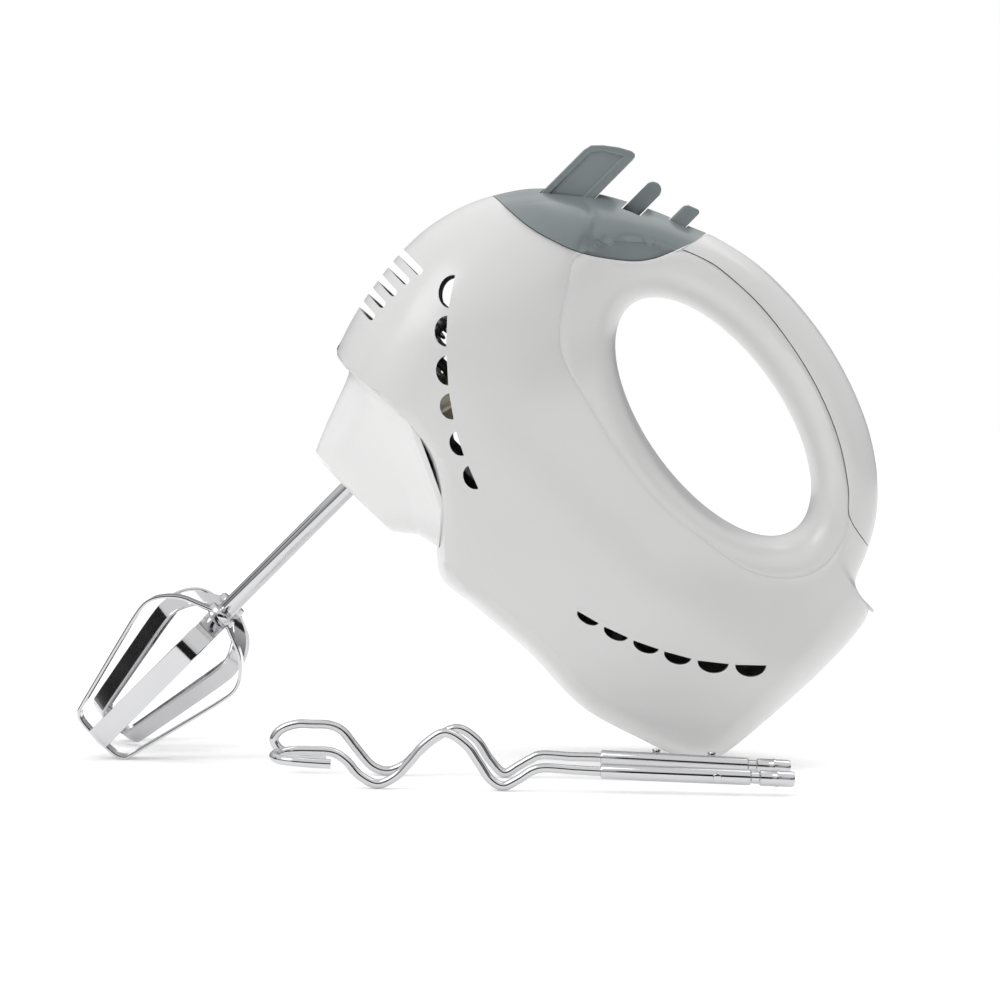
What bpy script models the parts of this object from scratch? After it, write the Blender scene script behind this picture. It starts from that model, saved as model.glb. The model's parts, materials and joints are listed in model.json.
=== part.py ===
"""Two-beater hand mixer leaning on its heel and beaters, with its two kneading hooks beside it."""

import math

import bmesh
import bpy
from mathutils import Matrix, Vector

MM = 0.001
TILT = 44.0  # the mixer leans this far, degrees about Y
MIXER_AT = (-47.4, 29.1, 97.26)  # the snout's face between the beaters, mm
HOOKS_AT = (-65.0, 29.1, 0.0)  # origin of the two hooks' own frame, mm

WALL = 2.2
GAP = 0.3
HALF_SEAM = 0.15

# Housing outline in side view, mm: x to the rear, z up, and the depth of the rounding behind each point.
OUTLINE = [
    (-37.6, 30.6, 9), (-39.4, 35, 17), (-42.7, 46, 30), (-45.2, 60, 36), (-46.4, 73, 38),
    (-46, 84, 38), (-43.9, 94, 36), (-41, 102.5, 32), (-36.5, 111, 28), (-30, 120.4, 24),
    (-21, 129, 22), (-11, 136.8, 20), (0, 143, 18), (10, 147.8, 16), (20, 151.6, 14),
    (30, 155.6, 13), (45, 159, 13), (60, 159.8, 13), (75, 158.7, 13), (88, 156.4, 13),
    (101, 152.7, 13), (114, 147.4, 13), (125, 141, 13), (134, 133.8, 13), (142, 125, 13),
    (147.6, 115.5, 13), (151.4, 106.5, 13), (153.8, 103, 12), (158.6, 101.4, 12), (163.2, 100.2, 12),
    (165.6, 95, 14), (166.7, 85, 16), (166.8, 72, 16), (166, 58, 16), (165, 44, 16),
    (163.8, 32, 15), (161.6, 22.5, 12), (157, 16.4, 10), (147, 12.3, 9), (137.5, 9.2, 9),
    (128, 6, 9), (118, 3.2, 9), (108, 2.2, 9), (97, 2.7, 9), (86, 3, 9),
    (73, 2, 9), (60, 0.8, 9), (50.5, -0.5, 8), (45, 0, 7), (40, 3, 5),
    (33.5, 10, 4.5), (26.5, 17, 4.5), (18.5, 23.2, 4.5), (9.5, 27.8, 4.5), (-1, 29.8, 4.5),
    (-12, 30.3, 4.5), (-23, 29.8, 4.5), (-32, 29, 6),
]
HOLE_CENTRE = (74.7, 109.6)
HOLE_HALF = (50.0, 24.2)
HOLE_TURN = -9.0
HOLE_ROUND = 11.0
GRIP_WIDTHS = [(0, 40), (20, 43.5), (38, 44), (54, 44), (66, 40), (78, 31), (92, 24), (106, 19.5), (120, 17), (150, 16)]
NOSE_WIDTHS = [(0, 40), (30, 43.5), (38, 44), (58, 44), (80, 40.5), (100, 34), (115, 28.5), (130, 23), (145, 18.5), (157, 16)]

CAP_EDGE = [
    (-60, 109.4), (-36.5, 109.4), (-22, 109.8), (-11.3, 112.3), (-0.5, 116.6),
    (10.3, 124.2), (17.5, 131.4), (23, 142.2), (26.3, 154.6), (27.4, 175),
]
STRIP_EDGE = [
    (23.3, 142.9), (31, 145.9), (39, 147.8), (57, 148.7), (75, 146.6), (93, 142.2),
    (111, 134.8), (125.5, 125.3), (132.7, 118.6), (141.7, 116.4), (153, 115.8),
]

AXIS_Z = 46.0  # height of the motor shaft above the nose face
SPACING = 43.0  # between the two beaters
WHEEL_TEETH = 24
WHEEL_TIP = 19.1
WHEEL_ROOT = 17.1
WORM_CORE = 2.1
WORM_TIP = 4.1
WORM_PITCH = 2 * math.pi * 18.4 / WHEEL_TEETH
WHEEL_LOW = 42.0
WHEEL_HIGH = 50.0

SHAFT_R = 3.1
SHAFT_TOP = 53.0
HUB_Z = -64.5
CAGE_LINE = [
    (3.6, -64.4), (9.6, -66.8), (14.5, -69), (19, -73), (21.8, -78), (21.5, -84.3), (18.1, -98.5), (15.3, -109.5),
    (12.5, -120.5), (11.2, -123.5), (8, -125), (0, -125.5),
]
STRIP_W = 8.0
STRIP_T = 1.2

# Half-moon vents: x and z of the straight edge's middle, the way it faces in degrees, its length and the depth.
VENT_FRONT = [
    (-22.8, 75.0, 34, 11.7, 4.6), (-14.3, 64.1, 43, 10.7, 4.2), (-4.5, 54.7, 48, 10.2, 4.0),
    (5.2, 46.9, 55, 9.1, 4.0), (16.4, 39.9, 63, 8.7, 3.6), (27.9, 34.9, 69, 8.7, 3.4),
]
VENT_REAR = [
    (90.4, 28.7, 105, 8.5, 2.4), (101.0, 31.9, 110, 9.1, 2.8), (111.6, 36.1, 115, 9.4, 2.9),
    (122.1, 41.3, 119, 9.9, 3.3), (132.9, 48.2, 127.5, 11.1, 3.9), (143.3, 56.7, 132, 11.2, 4.2),
]
NOSE_SLOTS = [(-34.7, 72.0), (-35.7, 66.3), (-35.9, 60.3), (-35.9, 54.6), (-35.5, 48.9)]

HOOK_ROD_R = 1.6
HOOK_SLEEVE_R = 2.65
SCREWS = [(-31, 86), (10, 111), (138.5, 106), (150, 29), (62, 12)]

COLOURS = {
    "white_plastic": (0.80, 0.80, 0.79, 0.0, 0.35),
    "grey_plastic": (0.30, 0.33, 0.34, 0.0, 0.40),
    "black_plastic": (0.03, 0.03, 0.03, 0.0, 0.45),
    "chromed_steel": (0.75, 0.75, 0.76, 1.0, 0.12),
    "steel": (0.45, 0.45, 0.46, 1.0, 0.35),
    "nylon": (0.75, 0.70, 0.58, 0.0, 0.5),
    "bronze": (0.55, 0.38, 0.20, 1.0, 0.35),
    "copper": (0.60, 0.25, 0.12, 1.0, 0.35),
    "lamination": (0.20, 0.20, 0.21, 1.0, 0.5),
    "carbon": (0.02, 0.02, 0.02, 0.0, 0.6),
    "zinc": (0.45, 0.46, 0.47, 1.0, 0.45),
}


def start():
    for old in list(bpy.data.objects):
        bpy.data.objects.remove(old)
    part = bpy.data.collections.new("hand_mixer")
    tools = bpy.data.collections.new("hand_mixer_cutters")
    bpy.context.scene.collection.children.link(part)
    bpy.context.scene.collection.children.link(tools)
    root = bpy.data.objects.new("mixer_frame", None)
    root.location = Vector(MIXER_AT) * MM
    root.rotation_euler = (0, math.radians(TILT), 0)
    hooks = bpy.data.objects.new("hooks_frame", None)
    hooks.location = Vector(HOOKS_AT) * MM
    part.objects.link(root)
    part.objects.link(hooks)
    return part, tools, root, hooks


PART, TOOLS, ROOT, HOOKS = start()


def material(name):
    found = bpy.data.materials.get(name)
    if found:
        return found
    red, green, blue, metallic, rough = COLOURS[name]
    made = bpy.data.materials.new(name)
    made.use_nodes = True
    shader = made.node_tree.nodes["Principled BSDF"]
    shader.inputs["Base Color"].default_value = (red, green, blue, 1)
    shader.inputs["Metallic"].default_value = metallic
    shader.inputs["Roughness"].default_value = rough
    made.diffuse_color = (red, green, blue, 1)
    return made


def cutter(name, mesh):
    """A working shape, kept out of the part."""
    obj = bpy.data.objects.new(name, mesh)
    obj.hide_render = True
    obj.display_type = "WIRE"
    TOOLS.objects.link(obj)
    return obj


def from_bmesh(name, bm):
    mesh = bpy.data.meshes.new(name)
    bm.to_mesh(mesh)
    bm.free()
    return cutter(name, mesh)


def baked(obj, move=None):
    """A new working shape from the evaluated mesh, welded, with its own placement applied."""
    bpy.context.view_layer.update()
    graph = bpy.context.evaluated_depsgraph_get()
    mesh = bpy.data.meshes.new_from_object(obj.evaluated_get(graph))
    mesh.transform(obj.matrix_world)
    if move is not None:
        mesh.transform(move)
    bm = bmesh.new()
    bm.from_mesh(mesh)
    bmesh.ops.remove_doubles(bm, verts=bm.verts, dist=1e-6)
    bmesh.ops.dissolve_degenerate(bm, edges=bm.edges, dist=1e-6)
    bmesh.ops.recalc_face_normals(bm, faces=bm.faces)
    if bm.calc_volume(signed=True) < 0:
        bmesh.ops.reverse_faces(bm, faces=bm.faces)
    bm.to_mesh(mesh)
    bm.free()
    mesh.materials.clear()
    name = obj.name
    bpy.data.objects.remove(obj)
    return cutter(name, mesh)


def combine(target, other, operation):
    """One exact Boolean step; the other shape is used up."""
    step = target.modifiers.new(operation.lower(), "BOOLEAN")
    step.operation = operation
    step.solver = "EXACT"
    step.object = other
    made = baked(target)
    bpy.data.objects.remove(other)
    return made


def box(name, low, high, bevel=0.0):
    bm = bmesh.new()
    bmesh.ops.create_cube(bm, size=1.0)
    size = Vector(high) - Vector(low)
    centre = (Vector(high) + Vector(low)) / 2
    bmesh.ops.scale(bm, vec=size * MM, verts=bm.verts)
    bmesh.ops.translate(bm, vec=centre * MM, verts=bm.verts)
    obj = from_bmesh(name, bm)
    if bevel:
        rounding = obj.modifiers.new("bevel", "BEVEL")
        rounding.width = bevel * MM
        rounding.segments = 2
        rounding.limit_method = "ANGLE"
        obj = baked(obj)
    return obj


TO_AXIS = {
    "x": Matrix.Rotation(math.radians(90), 4, "Y"),
    "y": Matrix.Rotation(math.radians(-90), 4, "X"),
    "z": Matrix.Identity(4),
}


def rod(name, radius, start_at, length, axis, sides=20):
    """A plain cylinder from start_at along +axis."""
    bm = bmesh.new()
    bmesh.ops.create_cone(
        bm, cap_ends=True, segments=sides, radius1=radius * MM, radius2=radius * MM, depth=length * MM
    )
    bmesh.ops.translate(bm, vec=(0, 0, length * MM / 2), verts=bm.verts)
    bm.transform(TO_AXIS[axis])
    bmesh.ops.translate(bm, vec=Vector(start_at) * MM, verts=bm.verts)
    return from_bmesh(name, bm)


def turned(name, profile, at, axis, steps=20, closed=True):
    """A turned shape: (radius, height) points spun about the axis through at."""
    mesh = bpy.data.meshes.new(name)
    points = [(r * MM, 0, h * MM) for r, h in profile]
    edges = [(i, i + 1) for i in range(len(points) - 1)]
    if closed:
        edges.append((len(points) - 1, 0))
    mesh.from_pydata(points, edges, [])
    obj = cutter(name, mesh)
    spin = obj.modifiers.new("screw", "SCREW")
    spin.steps = steps
    spin.render_steps = steps
    spin.use_merge_vertices = True
    spin.merge_threshold = 0.00001
    return baked(obj, Matrix.Translation(Vector(at) * MM) @ TO_AXIS[axis])


def tube(name, path, radius, resolution=2, cyclic=False):
    """A round bar along a path of points."""
    curve = bpy.data.curves.new(name, "CURVE")
    curve.dimensions = "3D"
    curve.bevel_depth = radius * MM
    curve.bevel_resolution = resolution
    curve.use_fill_caps = True
    line = curve.splines.new("POLY")
    line.points.add(len(path) - 1)
    for point, where in zip(line.points, path):
        point.co = (where[0] * MM, where[1] * MM, where[2] * MM, 1)
    line.use_cyclic_u = cyclic
    return baked(cutter(name, curve))


def slab(name, outline, low_y, high_y):
    """A flat side-view outline pushed out between two widths."""
    curve = bpy.data.curves.new(name, "CURVE")
    curve.dimensions = "2D"
    curve.fill_mode = "BOTH"
    curve.extrude = (high_y - low_y) / 2 * MM
    line = curve.splines.new("POLY")
    line.points.add(len(outline) - 1)
    for point, where in zip(line.points, outline):
        point.co = (where[0] * MM, where[1] * MM, 0, 1)
    line.use_cyclic_u = True
    upright = Matrix.Rotation(math.radians(90), 4, "X")
    middle = Matrix.Translation((0, (high_y + low_y) / 2 * MM, 0))
    return baked(cutter(name, curve), middle @ upright)


def smooth_path(points, per_span):
    """Evenly stepped points on a curve through the given ones."""
    out = []
    ends = [points[0]] + list(points) + [points[-1]]
    for i in range(1, len(ends) - 2):
        a, b, c, d = (Vector(p) for p in ends[i - 1:i + 3])
        for k in range(per_span):
            t = k / per_span
            out.append(
                0.5 * (2 * b + (c - a) * t + (2 * a - 5 * b + 4 * c - d) * t**2 + (3 * b - a - 3 * c + d) * t**3)
            )
    out.append(Vector(points[-1]))
    return out


def finish(obj, name, slot, pivot=(0, 0, 0), parent=ROOT, smooth=True):
    """Makes a working shape a node of the part with its origin on the pivot."""
    obj.name = name
    obj.data.name = name
    obj.data.materials.clear()
    obj.data.materials.append(material(slot))
    obj.data.transform(Matrix.Translation(-Vector(pivot) * MM))
    obj.location = Vector(pivot) * MM
    obj.parent = parent
    obj.hide_render = False
    obj.display_type = "TEXTURED"
    TOOLS.objects.unlink(obj)
    PART.objects.link(obj)
    if smooth:
        obj.data.shade_smooth()
        obj.data.set_sharp_from_angle(angle=math.radians(35))
    return obj


def stepped(table, value):
    """Smooth interpolation in a table of (at, value)."""
    if value <= table[0][0]:
        return table[0][1]
    for (a, low), (b, high) in zip(table, table[1:]):
        if value <= b:
            return low + (high - low) * (value - a) / (b - a)
    return table[-1][1]


def ease(low, high, value):
    t = min(max((value - low) / (high - low), 0), 1)
    return t * t * (3 - 2 * t)


def half_width(x, z):
    nose = ease(34, -6, x)
    across = stepped(GRIP_WIDTHS, z) * (1 - nose) + stepped(NOSE_WIDTHS, z) * nose
    return across * (1 - 0.26 * ease(96, 170, x))


def hole_radius(angle):
    a, b = HOLE_HALF
    turned_by = angle - math.radians(HOLE_TURN)
    return a * b / math.hypot(b * math.cos(turned_by), a * math.sin(turned_by))


def wall_inset(k):
    """How far along the line to the hand hole the wall's inner face lies at outline point k."""
    x, z, _ = OUTLINE[k]
    ax, az, _ = OUTLINE[k - 1]
    bx, bz, _ = OUTLINE[(k + 1) % len(OUTLINE)]
    tangent = Vector((bx - ax, bz - az)).normalized()
    inward = Vector((HOLE_CENTRE[0] - x, HOLE_CENTRE[1] - z)).normalized()
    slant = abs(tangent.x * inward.y - tangent.y * inward.x)
    return WALL / max(slant, 0.35)


def section(k, inset):
    """Half of the housing's cross-section on the line from the hand hole out to outline point k."""
    x, z, depth = OUTLINE[k]
    cx, cz = HOLE_CENTRE
    angle = math.atan2(z - cz, x - cx)
    inner = hole_radius(angle) + inset
    outer = math.hypot(x - cx, z - cz) - inset / WALL * wall_inset(k)
    length = outer - inner
    inside = HOLE_ROUND
    if depth + inside > length:
        share = length / (depth + inside)
        depth, inside = depth * share, inside * share
    flat = length - depth - inside
    stations = [(inside * (1 - math.cos(a)), math.sin(a)) for a in (0, 0.6, math.pi / 2)]
    stations += [(inside + flat * share, 1.0) for share in (0.45,)]
    stations += [(length - depth * (1 - math.cos(a)), math.sin(a)) for a in (math.pi / 2, 0.95, 0.42, 0)]
    points = []
    for along, share in stations:
        px = cx + (inner + along) * math.cos(angle)
        pz = cz + (inner + along) * math.sin(angle)
        points.append((px, -share * (half_width(px, pz) - inset), pz))
    return points


def skin_grid(bm, inset, both_sides):
    rows = []
    for k in range(len(OUTLINE)):
        line = section(k, inset)
        if both_sides:
            line += [(px, -py, pz) for px, py, pz in reversed(line[1:-1])]
        rows.append([bm.verts.new(Vector(p) * MM) for p in line])
    faces = []
    width = len(rows[0])
    for k, row in enumerate(rows):
        after = rows[(k + 1) % len(rows)]
        for j in range(width if both_sides else width - 1):
            n = (j + 1) % width
            faces.append(bm.faces.new((row[j], row[n], after[n], after[j])))
    return rows, faces


def half_shell(name, side):
    """One side's moulding: outer and inner skins joined by flat rims on the parting plane."""
    bm = bmesh.new()
    outer, _ = skin_grid(bm, 0, False)
    inner, _ = skin_grid(bm, WALL, False)
    for k in range(len(outer)):
        n = (k + 1) % len(outer)
        for j in (0, -1):
            bm.faces.new((outer[k][j], outer[n][j], inner[n][j], inner[k][j]))
    if side > 0:
        bm.transform(Matrix.Scale(-1, 4, (0, 1, 0)))
    bmesh.ops.translate(bm, vec=(0, side * HALF_SEAM * MM, 0), verts=bm.verts)
    bmesh.ops.recalc_face_normals(bm, faces=bm.faces)
    return from_bmesh(name, bm)


def whole_shell(name):
    """Both sides in one, as a hollow ring with its inner skin facing the hollow."""
    bm = bmesh.new()
    _, faces = skin_grid(bm, 0, True)
    bmesh.ops.recalc_face_normals(bm, faces=faces)
    _, faces = skin_grid(bm, WALL, True)
    bmesh.ops.recalc_face_normals(bm, faces=faces)
    bmesh.ops.reverse_faces(bm, faces=faces)
    return from_bmesh(name, bm)


def shifted(line, dx, dz):
    return [(x + dx, z + dz) for x, z in line]


def cap_region(name, grow):
    """Everything in front of and above the control cap's lower edge."""
    line = shifted(CAP_EDGE, grow * 0.7, -grow * 0.7)
    return slab(name, line + [(-60, 175)], -70, 70)


def strip_region(name, grow):
    """Everything above the grip strip's lower edge, behind the cap."""
    line = shifted(STRIP_EDGE, 0, -grow)
    start_x, start_z = line[0]
    top = [(153 + grow, 175), (27.4 + GAP - grow, 175), (26.3 + GAP - grow, 154.6)]
    line[0] = (start_x + GAP - grow, start_z)
    line[-1] = (153 + grow, line[-1][1])
    return slab(name, line + top, -70, 70)


def vent(name, x, z, flat_angle, long, tall):
    """One half-moon vent, its straight side facing flat_angle."""
    points = []
    for k in range(6):
        a = math.pi * k / 5
        px, pz = -long / 2 * math.cos(a), -tall * math.sin(a)
        turn = math.radians(flat_angle - 90)
        points.append(
            (x + px * math.cos(turn) - pz * math.sin(turn), z + px * math.sin(turn) + pz * math.cos(turn))
        )
    return slab(name, points, -70, 70)


def vents(name):
    """All the air openings of one side as one working shape."""
    made = []
    for k, moon in enumerate(VENT_FRONT + VENT_REAR):
        made.append(vent(f"{name}_{k}", *moon))
    for k, (x, z) in enumerate(NOSE_SLOTS):
        made.append(box(f"{name}_slot_{k}", (-60, -70, z - 1.4), (x, 70, z + 1.4)))
    bm = bmesh.new()
    for shape in made:
        bm.from_mesh(shape.data)
        bpy.data.objects.remove(shape)
    return from_bmesh(name, bm)


def snout_rows(grow):
    """Rounded-square rings of the snout from its flat face upward: x front, x rear, half width, z, corner."""
    levels = [
        (-14.5, 22, 27, 0, 9), (-17.5, 26, 29.2, 1.2, 10), (-19, 29, 30, 4.5, 11), (-22, 32, 30.6, 12, 12),
        (-25, 34.5, 31, 20, 12), (-27.6, 36, 31, 26, 12), (-28.6, 36.5, 31, 31.5, 12),
    ]
    if grow:
        levels.append((-28.6, 36.5, 31, 40, 12))
    rows = []
    for front, rear, half, z, corner in levels:
        ring = []
        for cx, cy, start_angle in (
            (rear - corner, half - corner, 0), (front + corner, half - corner, 90),
            (front + corner, corner - half, 180), (rear - corner, corner - half, 270),
        ):
            for k in range(4):
                a = math.radians(start_angle + 30 * k)
                ring.append((cx + (corner + grow) * math.cos(a), cy + (corner + grow) * math.sin(a), z))
        rows.append(ring)
    return rows


def ring_stack(name, rows, close_low, close_high):
    bm = bmesh.new()
    grid = [[bm.verts.new(Vector(p) * MM) for p in row] for row in rows]
    for low, high in zip(grid, grid[1:]):
        for k in range(len(low)):
            n = (k + 1) % len(low)
            bm.faces.new((low[k], low[n], high[n], high[k]))
    if close_low:
        bm.faces.new(list(reversed(grid[0])))
    if close_high:
        bm.faces.new(grid[-1])
    return from_bmesh(name, bm)


def build_snout():
    """The narrow light snout that the beaters plug into, a deep cup with two holes."""
    cup = ring_stack("snout_work", snout_rows(0), True, False)
    thicken = cup.modifiers.new("solidify", "SOLIDIFY")
    thicken.thickness = 2.0 * MM
    thicken.offset = -1
    cup = baked(cup)
    for side in (-1, 1):
        hole = rod("snout_hole", 5.8, (0, side * SPACING / 2, -5), 12, "z", 18)
        cup = combine(cup, hole, "DIFFERENCE")
    finish(cup, "snout_cover", "white_plastic")


def skin_depth(x, z):
    """How far the housing's outer face stands from the parting plane at a point of the side view."""
    cx, cz = HOLE_CENTRE
    ray = Vector((x - cx, z - cz))
    angle = math.atan2(ray.y, ray.x)
    for k in range(len(OUTLINE)):
        ax, az, low = OUTLINE[k - 1]
        bx, bz, high = OUTLINE[k]
        turn = math.atan2(bz - cz, bx - cx)
        span = (math.atan2(az - cz, ax - cx) - turn) % (2 * math.pi)
        share = ((angle - turn) % (2 * math.pi)) / span
        if share <= 1:
            outer = math.hypot(ax - cx, az - cz) * share + math.hypot(bx - cx, bz - cz) * (1 - share)
            depth = low * share + high * (1 - share)
            break
    inner = hole_radius(angle)
    inside = HOLE_ROUND
    if depth + inside > outer - inner:
        shrink = (outer - inner) / (depth + inside)
        depth, inside = depth * shrink, inside * shrink
    from_rim = max(1 - (outer - ray.length) / depth, 0)
    from_hole = max(1 - (ray.length - inner) / inside, 0)
    return half_width(x, z) * math.sqrt(1 - from_rim**2) * math.sqrt(1 - from_hole**2)


def boss(name, x, z, side):
    """A screw boss reaching from the seam to inside the wall."""
    reach = min(skin_depth(x + dx, z + dz) for dx in (-3.5, 0, 3.5) for dz in (-3.5, 0, 3.5)) - 1.2
    if side < 0:
        return rod(name, 4.4, (x, -reach, z), reach - HALF_SEAM, "y", 14)
    return rod(name, 4.6, (x, HALF_SEAM, z), reach - HALF_SEAM, "y", 14)


def build_housing():
    """Left and right shells split down the middle, opened for vents, cap, grip strip and snout."""
    for label, side in (("left", -1), ("right", 1)):
        shell = half_shell(f"shell_{label}", side)
        for k, (x, z) in enumerate(SCREWS):
            shell = combine(shell, boss(f"boss_{k}", x, z, side), "UNION")
        shell = combine(shell, cap_region("cap_cut", GAP / 2), "DIFFERENCE")
        shell = combine(shell, strip_region("strip_cut", GAP / 2), "DIFFERENCE")
        shell = combine(shell, ring_stack("snout_cut", snout_rows(GAP), True, True), "DIFFERENCE")
        shell = combine(shell, vents("vent_cut"), "DIFFERENCE")
        shell = combine(shell, rod("gland_cut", 4.3, (159.3, 0, 90), 20, "z", 16), "DIFFERENCE")
        shell = combine(shell, rod("gland_seat", 6.6, (159.3, 0, 100), 20, "z", 16), "DIFFERENCE")
        for k, (x, z) in enumerate(SCREWS):
            if side > 0:
                well = rod(f"well_{k}", 3.6, (x, 8, z), 60, "y", 14)
                shell = combine(shell, well, "DIFFERENCE")
                shell = combine(shell, rod(f"bore_{k}", 1.9, (x, -1, z), 30, "y", 12), "DIFFERENCE")
            else:
                shell = combine(shell, rod(f"bore_{k}", 1.7, (x, -14, z), 20, "y", 12), "DIFFERENCE")
        finish(shell, f"housing_{label}", "white_plastic")


def build_screws():
    for k, (x, z) in enumerate(SCREWS):
        screw = turned(
            f"screw_{k}",
            [(0, 10.4), (2.6, 10.4), (3.2, 9.6), (3.2, 8.3), (1.4, 8.3), (1.4, -12.5), (0.6, -13.6), (0, -13.6)],
            (x, 0, z), "y", 12, closed=False,
        )
        finish(screw, f"housing_screw_{k + 1}", "steel", (x, 0, z))


def build_cap_and_strip():
    """The grey control cap over the nose and the light strip along the top of the grip."""
    cap = combine(whole_shell("cap_shell"), cap_region("cap_keep", -GAP / 2), "INTERSECT")
    cap = combine(cap, box("eject_well", (-26, -11.3, 105), (-10.7, 11.3, 175)), "DIFFERENCE")
    cap = combine(cap, box("lever_slot", (-1.7, -13.3, 120), (5.1, 13.3, 175)), "DIFFERENCE")
    cap = combine(cap, box("turbo_well", (13.1, -7.3, 130), (19.7, 7.3, 175)), "DIFFERENCE")
    finish(cap, "control_cap", "grey_plastic")
    strip = combine(whole_shell("strip_shell"), strip_region("strip_keep", -GAP / 2), "INTERSECT")
    finish(strip, "handle_cover", "white_plastic")


def build_controls():
    """Eject button on its stem, sideways speed lever and turbo button."""
    outline = [
        (-25.7, 118), (-25.7, 143.5), (-25.0, 146.5), (-22, 149.6), (-17.5, 153),
        (-13.5, 155.2), (-11.8, 155.4), (-11, 154.4), (-11, 118),
    ]
    button = slab("eject", outline, -11, 11)
    rounding = button.modifiers.new("bevel", "BEVEL")
    rounding.width = 1.2 * MM
    rounding.segments = 2
    rounding.limit_method = "ANGLE"
    rounding.angle_limit = math.radians(50)
    button = baked(button)
    stem = box("eject_stem", (-20.5, -4, 70.3), (-15.5, 4, 120))
    finish(combine(button, stem, "UNION"), "eject_button", "grey_plastic", (-18, 0, 118))

    thumb = [(-1.3, 134), (-1.3, 150.5), (-0.7, 152.8), (1.7, 154.3), (4.1, 152.8), (4.7, 150.5), (4.7, 134)]
    lever = slab("lever", thumb, -5, 5)
    stem = box("lever_stem", (0, -3, 101.3), (3.4, 3, 136))
    finish(combine(lever, stem, "UNION"), "speed_lever", "grey_plastic", (1.7, 0, 134))

    press = [(13.5, 140), (13.5, 155), (14.4, 156.3), (18.2, 157.8), (19.3, 157), (19.3, 140)]
    turbo = slab("turbo", press, -7, 7)
    stem = box("turbo_stem", (14.9, -2.5, 128), (17.9, 2.5, 142))
    finish(combine(turbo, stem, "UNION"), "turbo_button", "grey_plastic", (16.4, 0, 140))


def build_eject():
    """Yoke that the eject button pushes down on to both beater shafts, and its return spring."""
    yoke = box("yoke", (-23, -28, 67), (6, 28, 70))
    for side in (-1, 1):
        pin = rod("yoke_pin", 2.7, (0, side * SPACING / 2, 53.4), 14, "z", 16)
        yoke = combine(yoke, pin, "UNION")
    guide = rod("yoke_guide", 2.2, (-18, 0, 59.5), 8.5, "z", 12)
    finish(combine(yoke, guide, "UNION"), "eject_yoke", "zinc", (-18, 0, 67))
    turns, steps = 4, 8
    path = []
    for k in range(turns * steps + 1):
        a = 2 * math.pi * k / steps
        path.append((-18 + 4.2 * math.cos(a), 4.2 * math.sin(a), 56.2 + 10 * k / (turns * steps)))
    spring = tube("eject_spring_work", path, 0.5, 1)
    finish(spring, "eject_spring", "steel", (-18, 0, 55.7))


def tooth_ring(twist_at):
    ring = []
    for k in range(WHEEL_TEETH):
        middle = 2 * math.pi * k / WHEEL_TEETH
        for radius, half in ((WHEEL_ROOT, -1.25), (WHEEL_TIP, -0.55), (WHEEL_TIP, 0.55), (WHEEL_ROOT, 1.25)):
            a = middle + half / radius + twist_at
            ring.append((radius * math.cos(a), radius * math.sin(a)))
    return ring


def build_worm_wheel(label, side):
    """Nylon worm wheel moulded on the sleeve that grips one beater shaft."""
    lean = WORM_PITCH / (2 * math.pi * 3.1)
    half = (WHEEL_HIGH - WHEEL_LOW) / 2
    phase = -math.pi / 2 + math.pi / WHEEL_TEETH if side > 0 else math.pi / 2
    rows = []
    for level in (-half, half):
        twist = phase + lean * level / 18.4
        rows.append([(px, py, level) for px, py in tooth_ring(twist)])
    wheel = ring_stack("wheel", rows, True, True)
    wheel.data.transform(Matrix.Translation((0, 0, AXIS_Z * MM)))
    hub = rod("wheel_hub", 5.2, (0, 0, 0.8), 56.4, "z", 20)
    wheel = combine(wheel, hub, "UNION")
    wheel = combine(wheel, rod("wheel_bore", SHAFT_R + GAP, (0, 0, -5), 80, "z", 20), "DIFFERENCE")
    wheel.data.transform(Matrix.Translation((0, side * SPACING / 2 * MM, 0)))
    finish(wheel, f"worm_wheel_{label}", "nylon", (0, side * SPACING / 2, AXIS_Z))


def build_bush(label, side):
    bush = turned(
        "bush", [(5.5, 38.2), (7.4, 38.2), (7.4, 32.2), (5.5, 32.2)], (0, side * SPACING / 2, 0), "z", 16
    )
    finish(bush, f"spindle_bush_{label}", "bronze", (0, side * SPACING / 2, 34))


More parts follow.
